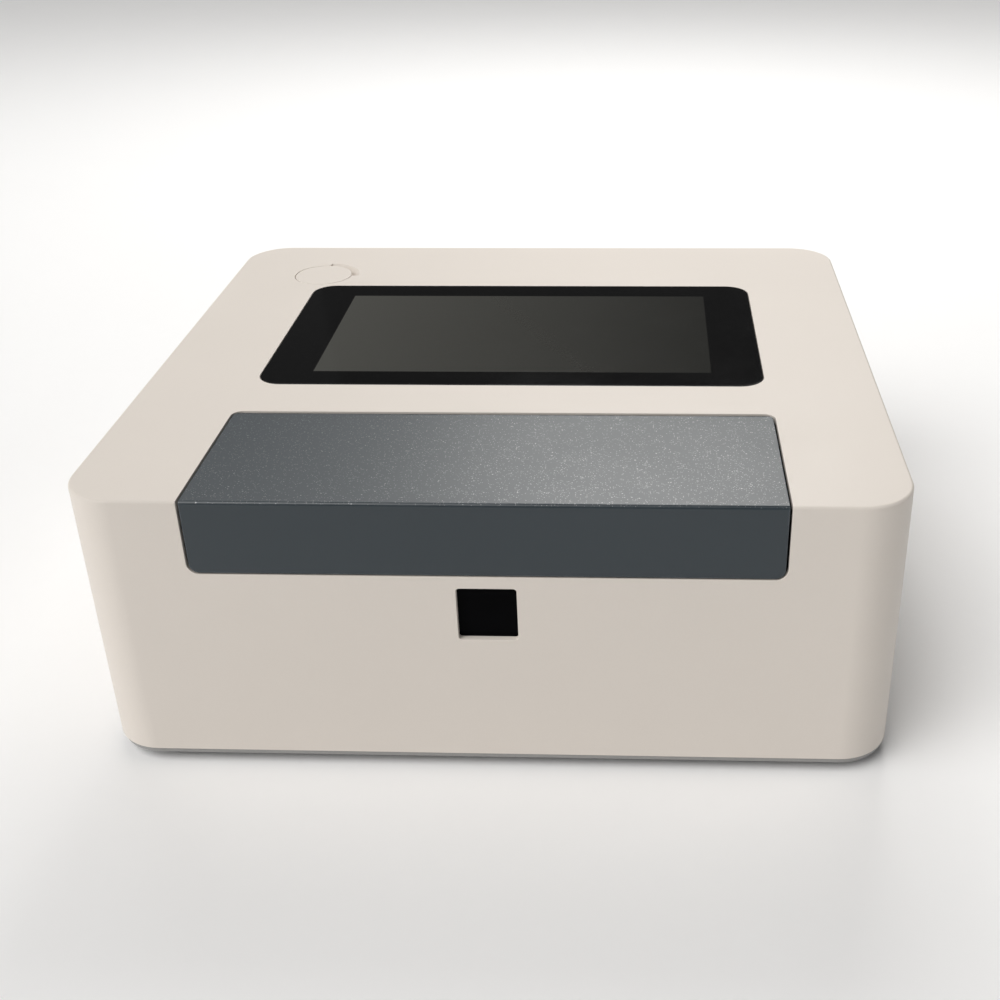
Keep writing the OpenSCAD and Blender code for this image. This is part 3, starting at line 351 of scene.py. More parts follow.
def lid_paint():
    """Slate paint with a fine texture: flakes under its top face sparkle where they catch a light."""
    settings = bpy.context.scene.cover_settings
    tree, shader = new_material("Lid paint", Specular_IOR_Level=0.74, Coat_Roughness=0.28, Coat_IOR=2.2)
    fine = effect(tree, "grain", Size=0.0007, Contrast=0.08)
    broad = effect(tree, "grain", Size=0.05, Contrast=0.05)
    tone = math_node(tree, "MULTIPLY", fine["Tone"], broad["Tone"])
    # Lighter blue-grey along the edges: partly worn paint, partly painted highlight.
    worn_and_highlit_edge = effect(tree, "edge", Width=0.0009, Amount=0.35)["Mask"]
    tree.links.new(blended(tree, worn_and_highlit_edge, tinted(tree, settings.lid_paint, tone), (0.20, 0.23, 0.26)),
                   shader.inputs["Base Color"])
    glossed(tree, shader, 0.04, 0.375, 0.405)
    small = effect(tree, "flakes", Size=settings.flake_size, Share=0.26)["Glint"]
    large = effect(tree, "flakes", Size=settings.flake_size*1.5, Share=0.05)["Glint"]
    height = add_node(tree, "ShaderNodeSeparateXYZ", Vector=object_place(tree)).outputs["Z"]
    on_top = math_node(tree, "GREATER_THAN", height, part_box("lid")[1].z - FLAKE_DEPTH)
    flakes = math_node(tree, "MAXIMUM", small, large)
    tree.links.new(math_node(tree, "MULTIPLY", flakes, on_top), shader.inputs["Coat Weight"])
    bumped(tree, shader, fine["Height"], 0.000007)


def glass_print():
    """Cover glass printed black behind, with the picture area left clear over a dark panel; the picture area
    carries a painted reflection, lighter towards its left end.
    """
    settings = bpy.context.scene.screen_settings
    low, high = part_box("cover_glass")
    middle = (low + high)/2
    tree, shader = new_material("Cover glass", Specular_IOR_Level=0.24, IOR=1.5)
    place = add_node(tree, "ShaderNodeVectorMath", {"operation": "SUBTRACT"}, _0=object_place(tree),
                     _1=(middle.x, middle.y + settings.picture_shift, 0.0)).outputs[0]
    axes = add_node(tree, "ShaderNodeSeparateXYZ", Vector=place)
    inside = []
    for i in (0, 1):
        half = settings.picture_size[i]/2
        away = math_node(tree, "ABSOLUTE", axes.outputs[i])
        inside.append(add_node(tree, "ShaderNodeMapRange", Value=away, From_Min=half + PICTURE_BLUR,
                               From_Max=half - PICTURE_BLUR).outputs[0])
    picture = math_node(tree, "MULTIPLY", *inside)
    fine = effect(tree, "grain", Size=0.0006, Contrast=0.10)
    half = settings.picture_size[0]/2
    # Painted reflection: the picture is painted lighter towards its left end and darker towards its right.
    across = add_node(tree, "ShaderNodeMapRange", Value=axes.outputs["X"], From_Min=-half, From_Max=half,
                      To_Min=PAINTED_REFLECTION_TONES[0], To_Max=PAINTED_REFLECTION_TONES[1]).outputs[0]
    picture_with_painted_reflection = tinted(tree, settings.picture_colour, math_node(tree, "MULTIPLY", fine["Tone"], across))
    base = blended(tree, picture, settings.print_colour, picture_with_painted_reflection)
    dusty = blended(tree, effect(tree, "dust", Amount=0.012)["Mask"], base, (0.4, 0.4, 0.4))
    tree.links.new(dusty, shader.inputs["Base Color"])
    glossed(tree, shader, 0.03, 0.045, 0.10)
    bumped(tree, shader, effect(tree, "grain", Size=0.05, Contrast=0.1)["Height"], 0.00002)


def window_tint():
    """Dark tinted window of the code scanner."""
    plain_finish("Window tint", (0.0022, 0.0022, 0.0026), grain=0.02, contrast=0.4, depth=0.000005,
                 rough=(0.06, 0.12), Specular_IOR_Level=0.02)


def clear_glass(name, colour, rough):
    """Optical glass: plain transmission, with a faint smear on its surface."""
    tree, shader = new_material(name, Transmission_Weight=1.0, IOR=1.52)
    fine = effect(tree, "grain", Size=0.004, Contrast=0.06)
    tree.links.new(tinted(tree, colour, fine["Tone"]), shader.inputs["Base Color"])
    glossed(tree, shader, 0.004, rough, rough + 0.05)


def circuit_board():
    """Green solder mask over copper tracks that run in straight lanes, with rows of plated holes."""
    tree, shader = new_material("Circuit board", Coat_Weight=0.35, Coat_Roughness=0.2)
    lanes = add_node(tree, "ShaderNodeTexBrick", {"offset": 0.37, "squash": 1.6, "squash_frequency": 3},
                     Vector=object_place(tree), Scale=90.0, Mortar_Size=0.055, Mortar_Smooth=0.1,
                     Brick_Width=0.9, Row_Height=0.22)
    holes = add_node(tree, "ShaderNodeTexVoronoi", {"feature": "F1"}, Vector=object_place(tree), Scale=170.0,
                     Randomness=0.35)
    hole = math_node(tree, "LESS_THAN", holes.outputs["Distance"], 0.16)
    track = lanes.outputs["Fac"]
    fine = effect(tree, "grain", Size=0.0015, Contrast=0.25)
    mask_colour = tinted(tree, (0.012, 0.115, 0.045), fine["Tone"])
    base = blended(tree, track, mask_colour, (0.03, 0.24, 0.10))
    base = blended(tree, hole, base, (0.72, 0.56, 0.26))
    tree.links.new(base, shader.inputs["Base Color"])
    tree.links.new(math_node(tree, "MULTIPLY", hole, 0.9), shader.inputs["Metallic"])
    glossed(tree, shader, 0.01, 0.28, 0.42)
    bumped(tree, shader, track, 0.00004)


def ribbon_stripes():
    """White flat cable, whose cores lie side by side along X."""
    tree, shader = new_material("Flat cable", Specular_IOR_Level=0.4)
    axes = add_node(tree, "ShaderNodeSeparateXYZ", Vector=object_place(tree))
    wave = math_node(tree, "SINE", math_node(tree, "MULTIPLY", axes.outputs["X"], 2*pi/CORE_PITCH))
    fine = effect(tree, "grain", Size=0.002, Contrast=0.08)
    core = add_node(tree, "ShaderNodeMapRange", Value=wave, From_Min=-0.6, From_Max=0.6)
    white = tinted(tree, (0.78, 0.78, 0.75), fine["Tone"])
    tree.links.new(blended(tree, core.outputs[0], (0.55, 0.56, 0.58), white), shader.inputs["Base Color"])
    glossed(tree, shader, 0.01, 0.35, 0.5)
    bumped(tree, shader, wave, 0.00006)


def build_materials():
    """Every finish on the object, by the name that the pieces ask for."""
    cover_paint()
    lid_paint()
    glass_print()
    window_tint()
    clear_glass("Optic glass", (0.93, 0.97, 0.97), 0.01)
    clear_glass("Filter glass", (0.80, 0.42, 0.14), 0.02)
    circuit_board()
    ribbon_stripes()
    plain_finish("Grey powder coat", (0.34, 0.335, 0.33), grain=0.0009, contrast=0.12, depth=0.00006,
                 rough=(0.45, 0.6), wear=((0.30, 0.30, 0.30), 0.0006, 0.5))
    plain_finish("Black moulding", (0.028, 0.028, 0.030), grain=0.0006, contrast=0.3, depth=0.00005,
                 rough=(0.5, 0.66), wear=((0.07, 0.07, 0.07), 0.0005, 0.5), dust=0.05)
    plain_finish("Gloss black moulding", (0.012, 0.012, 0.013), grain=0.001, contrast=0.2, depth=0.00001,
                 rough=(0.2, 0.34), wear=((0.05, 0.05, 0.05), 0.0004, 0.4))
    plain_finish("Rubber", (0.016, 0.016, 0.016), grain=0.0012, contrast=0.5, depth=0.00008,
                 rough=(0.7, 0.86), dust=0.15, Specular_IOR_Level=0.3)
    plain_finish("Foam", (0.022, 0.022, 0.024), grain=0.0009, contrast=1.2, depth=0.0003,
                 rough=(0.85, 0.98), Specular_IOR_Level=0.15)
    plain_finish("Chip black", (0.016, 0.016, 0.018), grain=0.0005, contrast=0.4, depth=0.00003,
                 rough=(0.5, 0.62))
    plain_finish("Black anodised", (0.020, 0.020, 0.022), grain=0.0004, contrast=0.3, depth=0.00002,
                 rough=(0.34, 0.46), wear=((0.32, 0.32, 0.33), 0.0005, 0.55), Metallic=0.55)
    plain_finish("White print", (0.72, 0.72, 0.70), grain=0.0005, contrast=0.1, depth=0.00001,
                 rough=(0.4, 0.5))
    plain_finish("Panel metal", (0.20, 0.20, 0.20), grain=0.001, contrast=0.1, depth=0.00002,
                 rough=(0.3, 0.45), Metallic=0.8)
    metal_finish("Steel", (0.56, 0.56, 0.57), (900.0, 900.0, 5200.0))
    metal_finish("Ground rod", (0.62, 0.62, 0.63), (5200.0, 60.0, 60.0), rough=(0.12, 0.22))
    metal_finish("Nickel", (0.70, 0.69, 0.67), (700.0, 4200.0, 700.0), rough=(0.16, 0.28))
    metal_finish("Brass", (0.70, 0.49, 0.19), (4800.0, 500.0, 500.0), rough=(0.22, 0.34))
    metal_finish("Gold plate", (0.86, 0.62, 0.24), (1500.0, 300.0, 300.0), contrast=0.1, rough=(0.15, 0.25))
    metal_finish("Blasted aluminium", (0.60, 0.61, 0.62), (2600.0, 2600.0, 2600.0), contrast=0.22,
                 depth=0.00002, rough=(0.42, 0.55))
    metal_finish("Mirror coat", (0.86, 0.87, 0.88), (30.0, 30.0, 900.0), contrast=0.03, depth=0.0000005,
                 rough=(0.02, 0.05))


# ---------------------------------------------------------------- shapes

SMOOTH_ANGLE = radians(40)      # shaded smooth below this
SHARP_ANGLE = radians(32)       # bevelled above this
FLAT_ANGLE = radians(0.4)       # faces merged below this
SAME_PLACE = 1e-6               # corners merged below this distance
SINK = 0.0001                   # how far one shape runs into the next

# bevels
SPRING_EDGE = 0.00005
SLIT_EDGE = 0.00008
SHEET_EDGE = 0.0001
SCREW_EDGE = 0.00012
RIB_EDGE = 0.00015
PART_EDGE = 0.0002
LINER_EDGE = 0.00025
CASE_EDGE = 0.0003
ROCKER_EDGE = 0.0004

# feet and the lid's liner
RING_RADIUS = 0.00035           # section of a foot's grip ring
RING_INSET = 0.0012             # of the lowest ring, from the foot's widest
FOOT_FLARE = 0.001              # how far the foot's wall leans out
LINER_SKIN = 0.0016
RIB_DEPTH = 0.0009
RIB_WIDTH = 0.0014
RIB_MARGIN = (0.022, 0.018, 0.016)  # sides, front and back

# lead screw
THREAD_DEPTH = 0.00045
THREAD_LEAD = 0.008
THREAD_STARTS = 4
THREAD_STEPS = 32               # for each turn
THREAD_HALF = 0.0005            # half the thread's root; its crest is half as wide
THREAD_TIP = 0.00002            # left between the crest and the rod's radius
PLAIN_ENDS = (0.005, 0.022)
END_STEP = 0.0005               # how much slimmer the plain ends are
END_CHAMFER = 0.0003
RUN_IN = 0.002                  # from the groove's end to the thread

# numbers on the carriage
NUMBER_SIZE = 0.0052
NUMBER_RELIEF = 0.00005
NUMBER_INSET = 0.0028           # from the carriage's front to their middle
CARRIAGE_END = 0.003            # the carriage's end wall

# rear panel
SCREW_LENGTH = 0.0096           # panel screw with its head
SCREW_REACH = SCREW_LENGTH + 0.002
HEAD_RADIUS = 0.00275
HEAD_HEIGHT = 0.0016
FAN_PITCH = 0.032               # between the fan's screw holes
USB_WIDTH = 0.0132
USB_ROOF = 0.0011               # from the socket's top to its tongue
TONGUE = (0.011, 0.0094, 0.0018)
TONGUE_BACK = 0.0022            # from the socket's mouth
CONTACT = (0.001, 0.008, 0.0002)
CONTACT_BACK = 0.0030
CONTACT_PITCH = 0.0024
WIRE = (0.0004, 0.0072, 0.0003)
WIRE_PITCH = 0.00102
WIRE_SLOPE = radians(24)
WIRE_PLACE = (0.0065, 0.0048)   # behind the network socket's mouth, below its top
ROCKER_TILT = radians(8)        # the rocker at rest
ROCKER_SLOPE = radians(5.93)    # each half of its face
MARK_PLACE = (0.0040, 0.00262)  # from the rocker's pivot: sideways and outwards
MARK_BAR = (0.0007, 0.0002, 0.0040)
MARK_RING = (0.0014, 0.0020)    # inner and outer radius

# stage
ROOM_LIGHT = 0.06               # strength of the room's light on things
ROOM_SEEN = 0.55                # and how bright the room itself looks
FLOOR_RADIUS = 6.0
KEY_FROM = (-0.55, -0.50, 1.0)
KEY_STRENGTH = 2.15
KEY_SPREAD = radians(50)
# name, place, what it faces, side, power, colour
LIGHTS = (
    ("Back", (0.12, 1.0, 0.98), (0.05, -0.09, 0.1), 0.60, 6.7, (1.0, 0.985, 0.96)),
    ("Back left", (-0.42, 1.05, 1.20), (-0.05, -0.09, 0.1), 0.8, 3.4, (1.0, 0.99, 0.98)),
    ("Card", (-1.0, 1.5, 0.75), (-0.1, 0.0, 0.1), 1.1, 0.08, (1.0, 1.0, 1.0)),
    ("Fill left", (-1.0, -0.95, 0.5), (-0.1, -0.13, 0.05), 0.6, 2.7, (1.0, 0.99, 0.985)),
    ("Fill right", (1.3, 0.0, 0.5), (0.14, 0.0, 0.05), 0.8, 1.9, (1.0, 0.99, 0.985)),
)


def finish_mesh(piece, edge, segments):
    """Bevels the sharp edges of a piece and shades it smooth between them."""
    mesh = bmesh.new()
    mesh.from_mesh(piece.data)
    if edge:
        corners = [e for e in mesh.edges if e.is_manifold and e.calc_face_angle() > SHARP_ANGLE]
        bmesh.ops.bevel(mesh, geom=corners, offset=edge, offset_type="OFFSET", segments=segments, profile=0.5,
                        affect="EDGES", clamp_overlap=False, material=-1, loop_slide=True)
        bmesh.ops.remove_doubles(mesh, verts=mesh.verts, dist=SAME_PLACE)
        bmesh.ops.dissolve_degenerate(mesh, dist=SAME_PLACE, edges=mesh.edges)
    for face in mesh.faces:
        face.smooth = True
    for e in mesh.edges:
        e.smooth = not e.is_manifold or e.calc_face_angle() < SMOOTH_ANGLE
    mesh.to_mesh(piece.data)
    mesh.free()
    piece.data.update()
    weighted = piece.modifiers.new("Even shading", "WEIGHTED_NORMAL")
    weighted.keep_sharp = True
    weighted.weight = 80


def from_node(node, material, edge=0.0, segments=2):
    """A piece that stands for a CAD node: its merged copy, with bevelled edges and a finish."""
    mesh = bmesh.new()
    mesh.from_mesh(NODES[node].data)
    bmesh.ops.remove_doubles(mesh, verts=mesh.verts, dist=SAME_PLACE)
    bmesh.ops.dissolve_limit(mesh, angle_limit=FLAT_ANGLE, use_dissolve_boundaries=False,
                             verts=mesh.verts, edges=mesh.edges, delimit=set())
    data = bpy.data.meshes.new(node + "_finished")
    mesh.to_mesh(data)
    mesh.free()
    piece = bpy.data.objects.new(node + "_finished", data)
    bpy.context.scene.collection.objects.link(piece)
    piece.data.materials.append(MATERIALS[material])
    finish_mesh(piece, edge, segments)
    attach(piece, NODE_BODY[node])
    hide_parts(node)
    return piece


def new_piece(name, mesh, material, body, edge=0.0, segments=2):
    """A piece from a bmesh, riding on a body."""
    bmesh.ops.recalc_face_normals(mesh, faces=mesh.faces)
    data = bpy.data.meshes.new(name)
    mesh.to_mesh(data)
    mesh.free()
    piece = bpy.data.objects.new(name, data)
    bpy.context.scene.collection.objects.link(piece)
    piece.data.materials.append(MATERIALS[material])
    finish_mesh(piece, edge, segments)
    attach(piece, body)
    return piece


def add_box(mesh, low, high):
    """A box between two corners, added to a bmesh."""
    low, high = Vector(low), Vector(high)
    add_placed_box(mesh, Matrix.Translation((low + high)/2), high - low)


def add_placed_box(mesh, place, size):
    """A box of a given size, put and turned by a matrix."""
    bmesh.ops.create_cube(mesh, size=1.0, matrix=place @ Matrix.Diagonal((*size, 1.0)))


def add_turned(mesh, outline, middle, axis, across, segments=48):
    """A solid of revolution: the outline gives (distance along the axis, radius) pairs."""
    axis = Vector(axis)
    across = Vector(across)
    made = [mesh.verts.new(Vector(middle) + axis*along + across*radius) for along, radius in outline]
    edges = [mesh.edges.new((a, b)) for a, b in zip(made, made[1:])]
    bmesh.ops.spin(mesh, geom=made + edges, cent=middle, axis=axis, angle=2*pi, steps=segments,
                   use_merge=True)
    bmesh.ops.remove_doubles(mesh, verts=mesh.verts, dist=SAME_PLACE)


def fill_ends(mesh):
    """Closes every open end with a flat face."""
    bmesh.ops.holes_fill(mesh, edges=[e for e in mesh.edges if e.is_boundary], sides=0)


# ---------------------------------------------------------------- operators

class BuildCover(bpy.types.Operator):
    """Cover, base plate, feet and the screws that hold them"""
    bl_idname = "instrument.cover"
    bl_label = "Cover and base"

    def execute(self, context):
        settings = context.scene.cover_settings
        from_node("housing", "Cover paint", settings.edge)
        from_node("base_plate", "Grey powder coat", PART_EDGE)
        for side in ("front_left", "front_right", "rear_left", "rear_right"):
            foot = "foot_" + side
            from_node(foot, "Rubber", CASE_EDGE)
            self.add_ribs(foot, settings.foot_ribs)
        from_node("foot_screws", "Steel", SCREW_EDGE)
        from_node("cover_screws", "Nickel", SCREW_EDGE)
        from_node("inner_screws", "Nickel", SCREW_EDGE)
        return {"FINISHED"}

    def add_ribs(self, foot, count):
        """Grip rings round a foot, each a small circle spun about the foot's axis."""
        low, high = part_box(foot)
        middle = (low + high)/2
        mesh = bmesh.new()
        for i in range(count):
            up = (i + 1)/(count + 1)
            height = low.z + (high.z - low.z)*up
            side = high.x - RING_INSET + FOOT_FLARE*up
            place = Matrix.Translation((side, middle.y, height)) @ Matrix.Rotation(pi/2, 4, "X")
            ring = bmesh.ops.create_circle(mesh, segments=8, radius=RING_RADIUS, matrix=place)["verts"]
            edges = list({e for v in ring for e in v.link_edges})
            bmesh.ops.spin(mesh, geom=ring + edges, cent=(middle.x, middle.y, height), axis=(0, 0, 1),
                           angle=2*pi, steps=64, use_merge=True)
        bmesh.ops.remove_doubles(mesh, verts=mesh.verts, dist=SAME_PLACE)
        new_piece(foot + "_ribs", mesh, "Rubber", NODE_BODY[foot])


class BuildLid(bpy.types.Operator):
    """Flip lid, its liner with the ears, pins, seal and magnets"""
    bl_idname = "instrument.lid"
    bl_label = "Lid"

    def execute(self, context):
        from_node("lid", "Lid paint", context.scene.cover_settings.edge)
        from_node("lid_liner", "Black moulding", LINER_EDGE)
        from_node("hinge_pins", "Ground rod", PART_EDGE)
        from_node("lid_seal", "Foam", CASE_EDGE)
        from_node("lid_magnets", "Nickel", PART_EDGE)
        from_node("catch_plates", "Steel", PART_EDGE)
        self.add_ribs(context.scene.cover_settings.lid_ribs)
        return {"FINISHED"}

    def add_ribs(self, count):
        """Stiffening ribs under the liner: a frame along its edges, and cross ribs between."""
        low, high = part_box("lid_liner")
        under = high.z - LINER_SKIN
        sides, at_front, at_back = RIB_MARGIN
        left, right = low.x + sides, high.x - sides
        front, back = low.y + at_front, high.y - at_back
        mesh = bmesh.new()
        for y in (front, back):
            add_box(mesh, (left, y, under - RIB_DEPTH), (right, y + RIB_WIDTH, under + 2*SINK))
        for i in range(count):
            x = left + (right - RIB_WIDTH - left)*i/(count - 1)
            add_box(mesh, (x, front + RIB_WIDTH/2, under - RIB_DEPTH*0.95),
                    (x + RIB_WIDTH, back + RIB_WIDTH/2, under + SINK))
        new_piece("lid_ribs", mesh, "Black moulding", "lid", RIB_EDGE)


class BuildDisplay(bpy.types.Operator):
    """Cover glass, panel, its frame, board and cable"""
    bl_idname = "instrument.display"
    bl_label = "Display"

    def execute(self, context):
        from_node("cover_glass", "Cover glass", CASE_EDGE, 3)
        from_node("lcd_panel", "Panel metal", CASE_EDGE)
        from_node("display_frame", "Steel", PART_EDGE)
        from_node("display_board", "Circuit board", SHEET_EDGE)
        from_node("display_ribbon", "Flat cable", SHEET_EDGE)
        return {"FINISHED"}


class BuildScanner(bpy.types.Operator):
    """Tinted window in the front and the scan engine behind it"""
    bl_idname = "instrument.scanner"
    bl_label = "Scanner"

    def execute(self, context):
        from_node("scan_window", "Window tint", PART_EDGE)
        from_node("scan_engine", "Black moulding", PART_EDGE)
        return {"FINISHED"}


class BuildTubeWell(bpy.types.Operator):
    """Flush cap, its seal, the tube well and its sensors"""
    bl_idname = "instrument.tube_well"
    bl_label = "Tube well"

    def execute(self, context):
        from_node("tube_cap", "Cover paint")
        from_node("cap_seal", "Foam", SLIT_EDGE)
        from_node("vial_well", "Black moulding", PART_EDGE)
        from_node("vial_sensors", "Circuit board", SHEET_EDGE)
        return {"FINISHED"}


class BuildCompartment(bpy.types.Operator):
    """Sample tub, cuvette carriage and its drive"""
    bl_idname = "instrument.compartment"
    bl_label = "Sample compartment"

    def execute(self, context):
        from_node("sample_tub", "Black moulding", CASE_EDGE)
        from_node("cell_carriage", "Black anodised", CASE_EDGE)
        from_node("carriage_bushes", "Brass", PART_EDGE)
        from_node("cell_springs", "Nickel", SPRING_EDGE)
        from_node("guide_rods", "Ground rod", CASE_EDGE)
        from_node("lead_nut", "Brass", PART_EDGE)
        self.add_lead_screw()
        self.add_numbers(6)
        from_node("carriage_motor", "Black anodised", CASE_EDGE)
        from_node("detector_board", "Circuit board", SHEET_EDGE)
        return {"FINISHED"}

    def add_lead_screw(self):
        """The lead screw with its coarse thread, in place of the plain rod."""
        low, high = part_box("lead_screw")
        middle = (low + high)/2
        radius = (high.z - low.z)/2
        core = radius - THREAD_DEPTH
        plain = radius - END_STEP
        first, last = low.x + PLAIN_ENDS[0], high.x - PLAIN_ENDS[1]
        mesh = bmesh.new()
        outline = [(low.x, 0), (low.x, plain - END_CHAMFER), (low.x + END_CHAMFER, plain), (first, plain),
                   (first, core), (last, core), (last, plain), (high.x - END_CHAMFER, plain),
                   (high.x, plain - END_CHAMFER), (high.x, 0)]
        add_turned(mesh, outline, (0, middle.y, middle.z), (1, 0, 0), (0, 0, 1))
        turns = (last - first - 2*RUN_IN)/THREAD_LEAD
        steps = int(turns*THREAD_STEPS)
        ridge = ((-THREAD_HALF, core - SINK), (-THREAD_HALF/2, radius - THREAD_TIP),
                 (THREAD_HALF/2, radius - THREAD_TIP), (THREAD_HALF, core - SINK))
        for start in range(THREAD_STARTS):
            around = Matrix.Rotation(2*pi*start/THREAD_STARTS, 4, "X")
            verts = [mesh.verts.new(Vector((first + RUN_IN + along, middle.y, middle.z))
                                    + around @ Vector((0, 0, out))) for along, out in ridge]
            edges = [mesh.edges.new((verts[i - 1], verts[i])) for i in range(len(verts))]
            bmesh.ops.spin(mesh, geom=verts + edges, cent=(0, middle.y, middle.z), axis=(1, 0, 0),
                           dvec=(turns*THREAD_LEAD/steps, 0, 0), angle=2*pi*turns, steps=steps)
        fill_ends(mesh)
        piece = new_piece("lead_screw_threaded", mesh, "Steel", "lead_screw")
        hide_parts("lead_screw")

    def add_numbers(self, count):
        """The number of each cuvette well, printed on the front ledge of the carriage."""
        low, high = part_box("cell_carriage")
        pitch = (high.x - low.x - 2*CARRIAGE_END)/count
        mesh = bmesh.new()
        for i in range(count):
            text = bpy.data.curves.new("Number", "FONT")
            text.body = str(i + 1)
            text.size = NUMBER_SIZE
            text.extrude = NUMBER_RELIEF
            text.align_x = "CENTER"
            text.align_y = "CENTER"
            drawn = bpy.data.objects.new("Number", text)
            flat = bpy.data.meshes.new_from_object(drawn)
            side = low.x + CARRIAGE_END + pitch*(i + 0.5)
            flat.transform(Matrix.Translation((side, low.y + NUMBER_INSET, high.z)))
            mesh.from_mesh(flat)
            bpy.data.meshes.remove(flat)
            bpy.data.objects.remove(drawn)
            bpy.data.curves.remove(text)
        bmesh.ops.remove_doubles(mesh, verts=mesh.verts, dist=SAME_PLACE)
        new_piece("cell_numbers", mesh, "White print", "carriage")


class BuildOptics(bpy.types.Operator):
    """Optics bench with the lamp, filters, slits, mirrors and grating"""
    bl_idname = "instrument.optics"
    bl_label = "Optics"

    def execute(self, context):
        from_node("optics_base", "Blasted aluminium", CASE_EDGE)
        from_node("optics_cover", "Black anodised", CASE_EDGE)
        from_node("lamp_block", "Blasted aluminium", CASE_EDGE)
        from_node("lamp", "Optic glass")
        from_node("lenses", "Optic glass")
        from_node("filter_wheel", "Black anodised", PART_EDGE)
        from_node("filters", "Filter glass", SHEET_EDGE)
        from_node("small_motors", "Steel", CASE_EDGE)
        from_node("slit_plates", "Black anodised", SLIT_EDGE)
        from_node("concave_mirrors", "Mirror coat")
        from_node("grating", "Mirror coat", SHEET_EDGE)
        from_node("grating_table", "Blasted aluminium", PART_EDGE)
        return {"FINISHED"}


class BuildElectronics(bpy.types.Operator):
    """Boards, their parts and the standoffs"""
    bl_idname = "instrument.electronics"
    bl_label = "Electronics"

    def execute(self, context):
        from_node("mainboard", "Circuit board", SHEET_EDGE)
        from_node("driver_board", "Circuit board", SHEET_EDGE)
        from_node("board_parts", "Chip black", PART_EDGE)
        from_node("board_standoffs", "Brass", PART_EDGE)
        return {"FINISHED"}


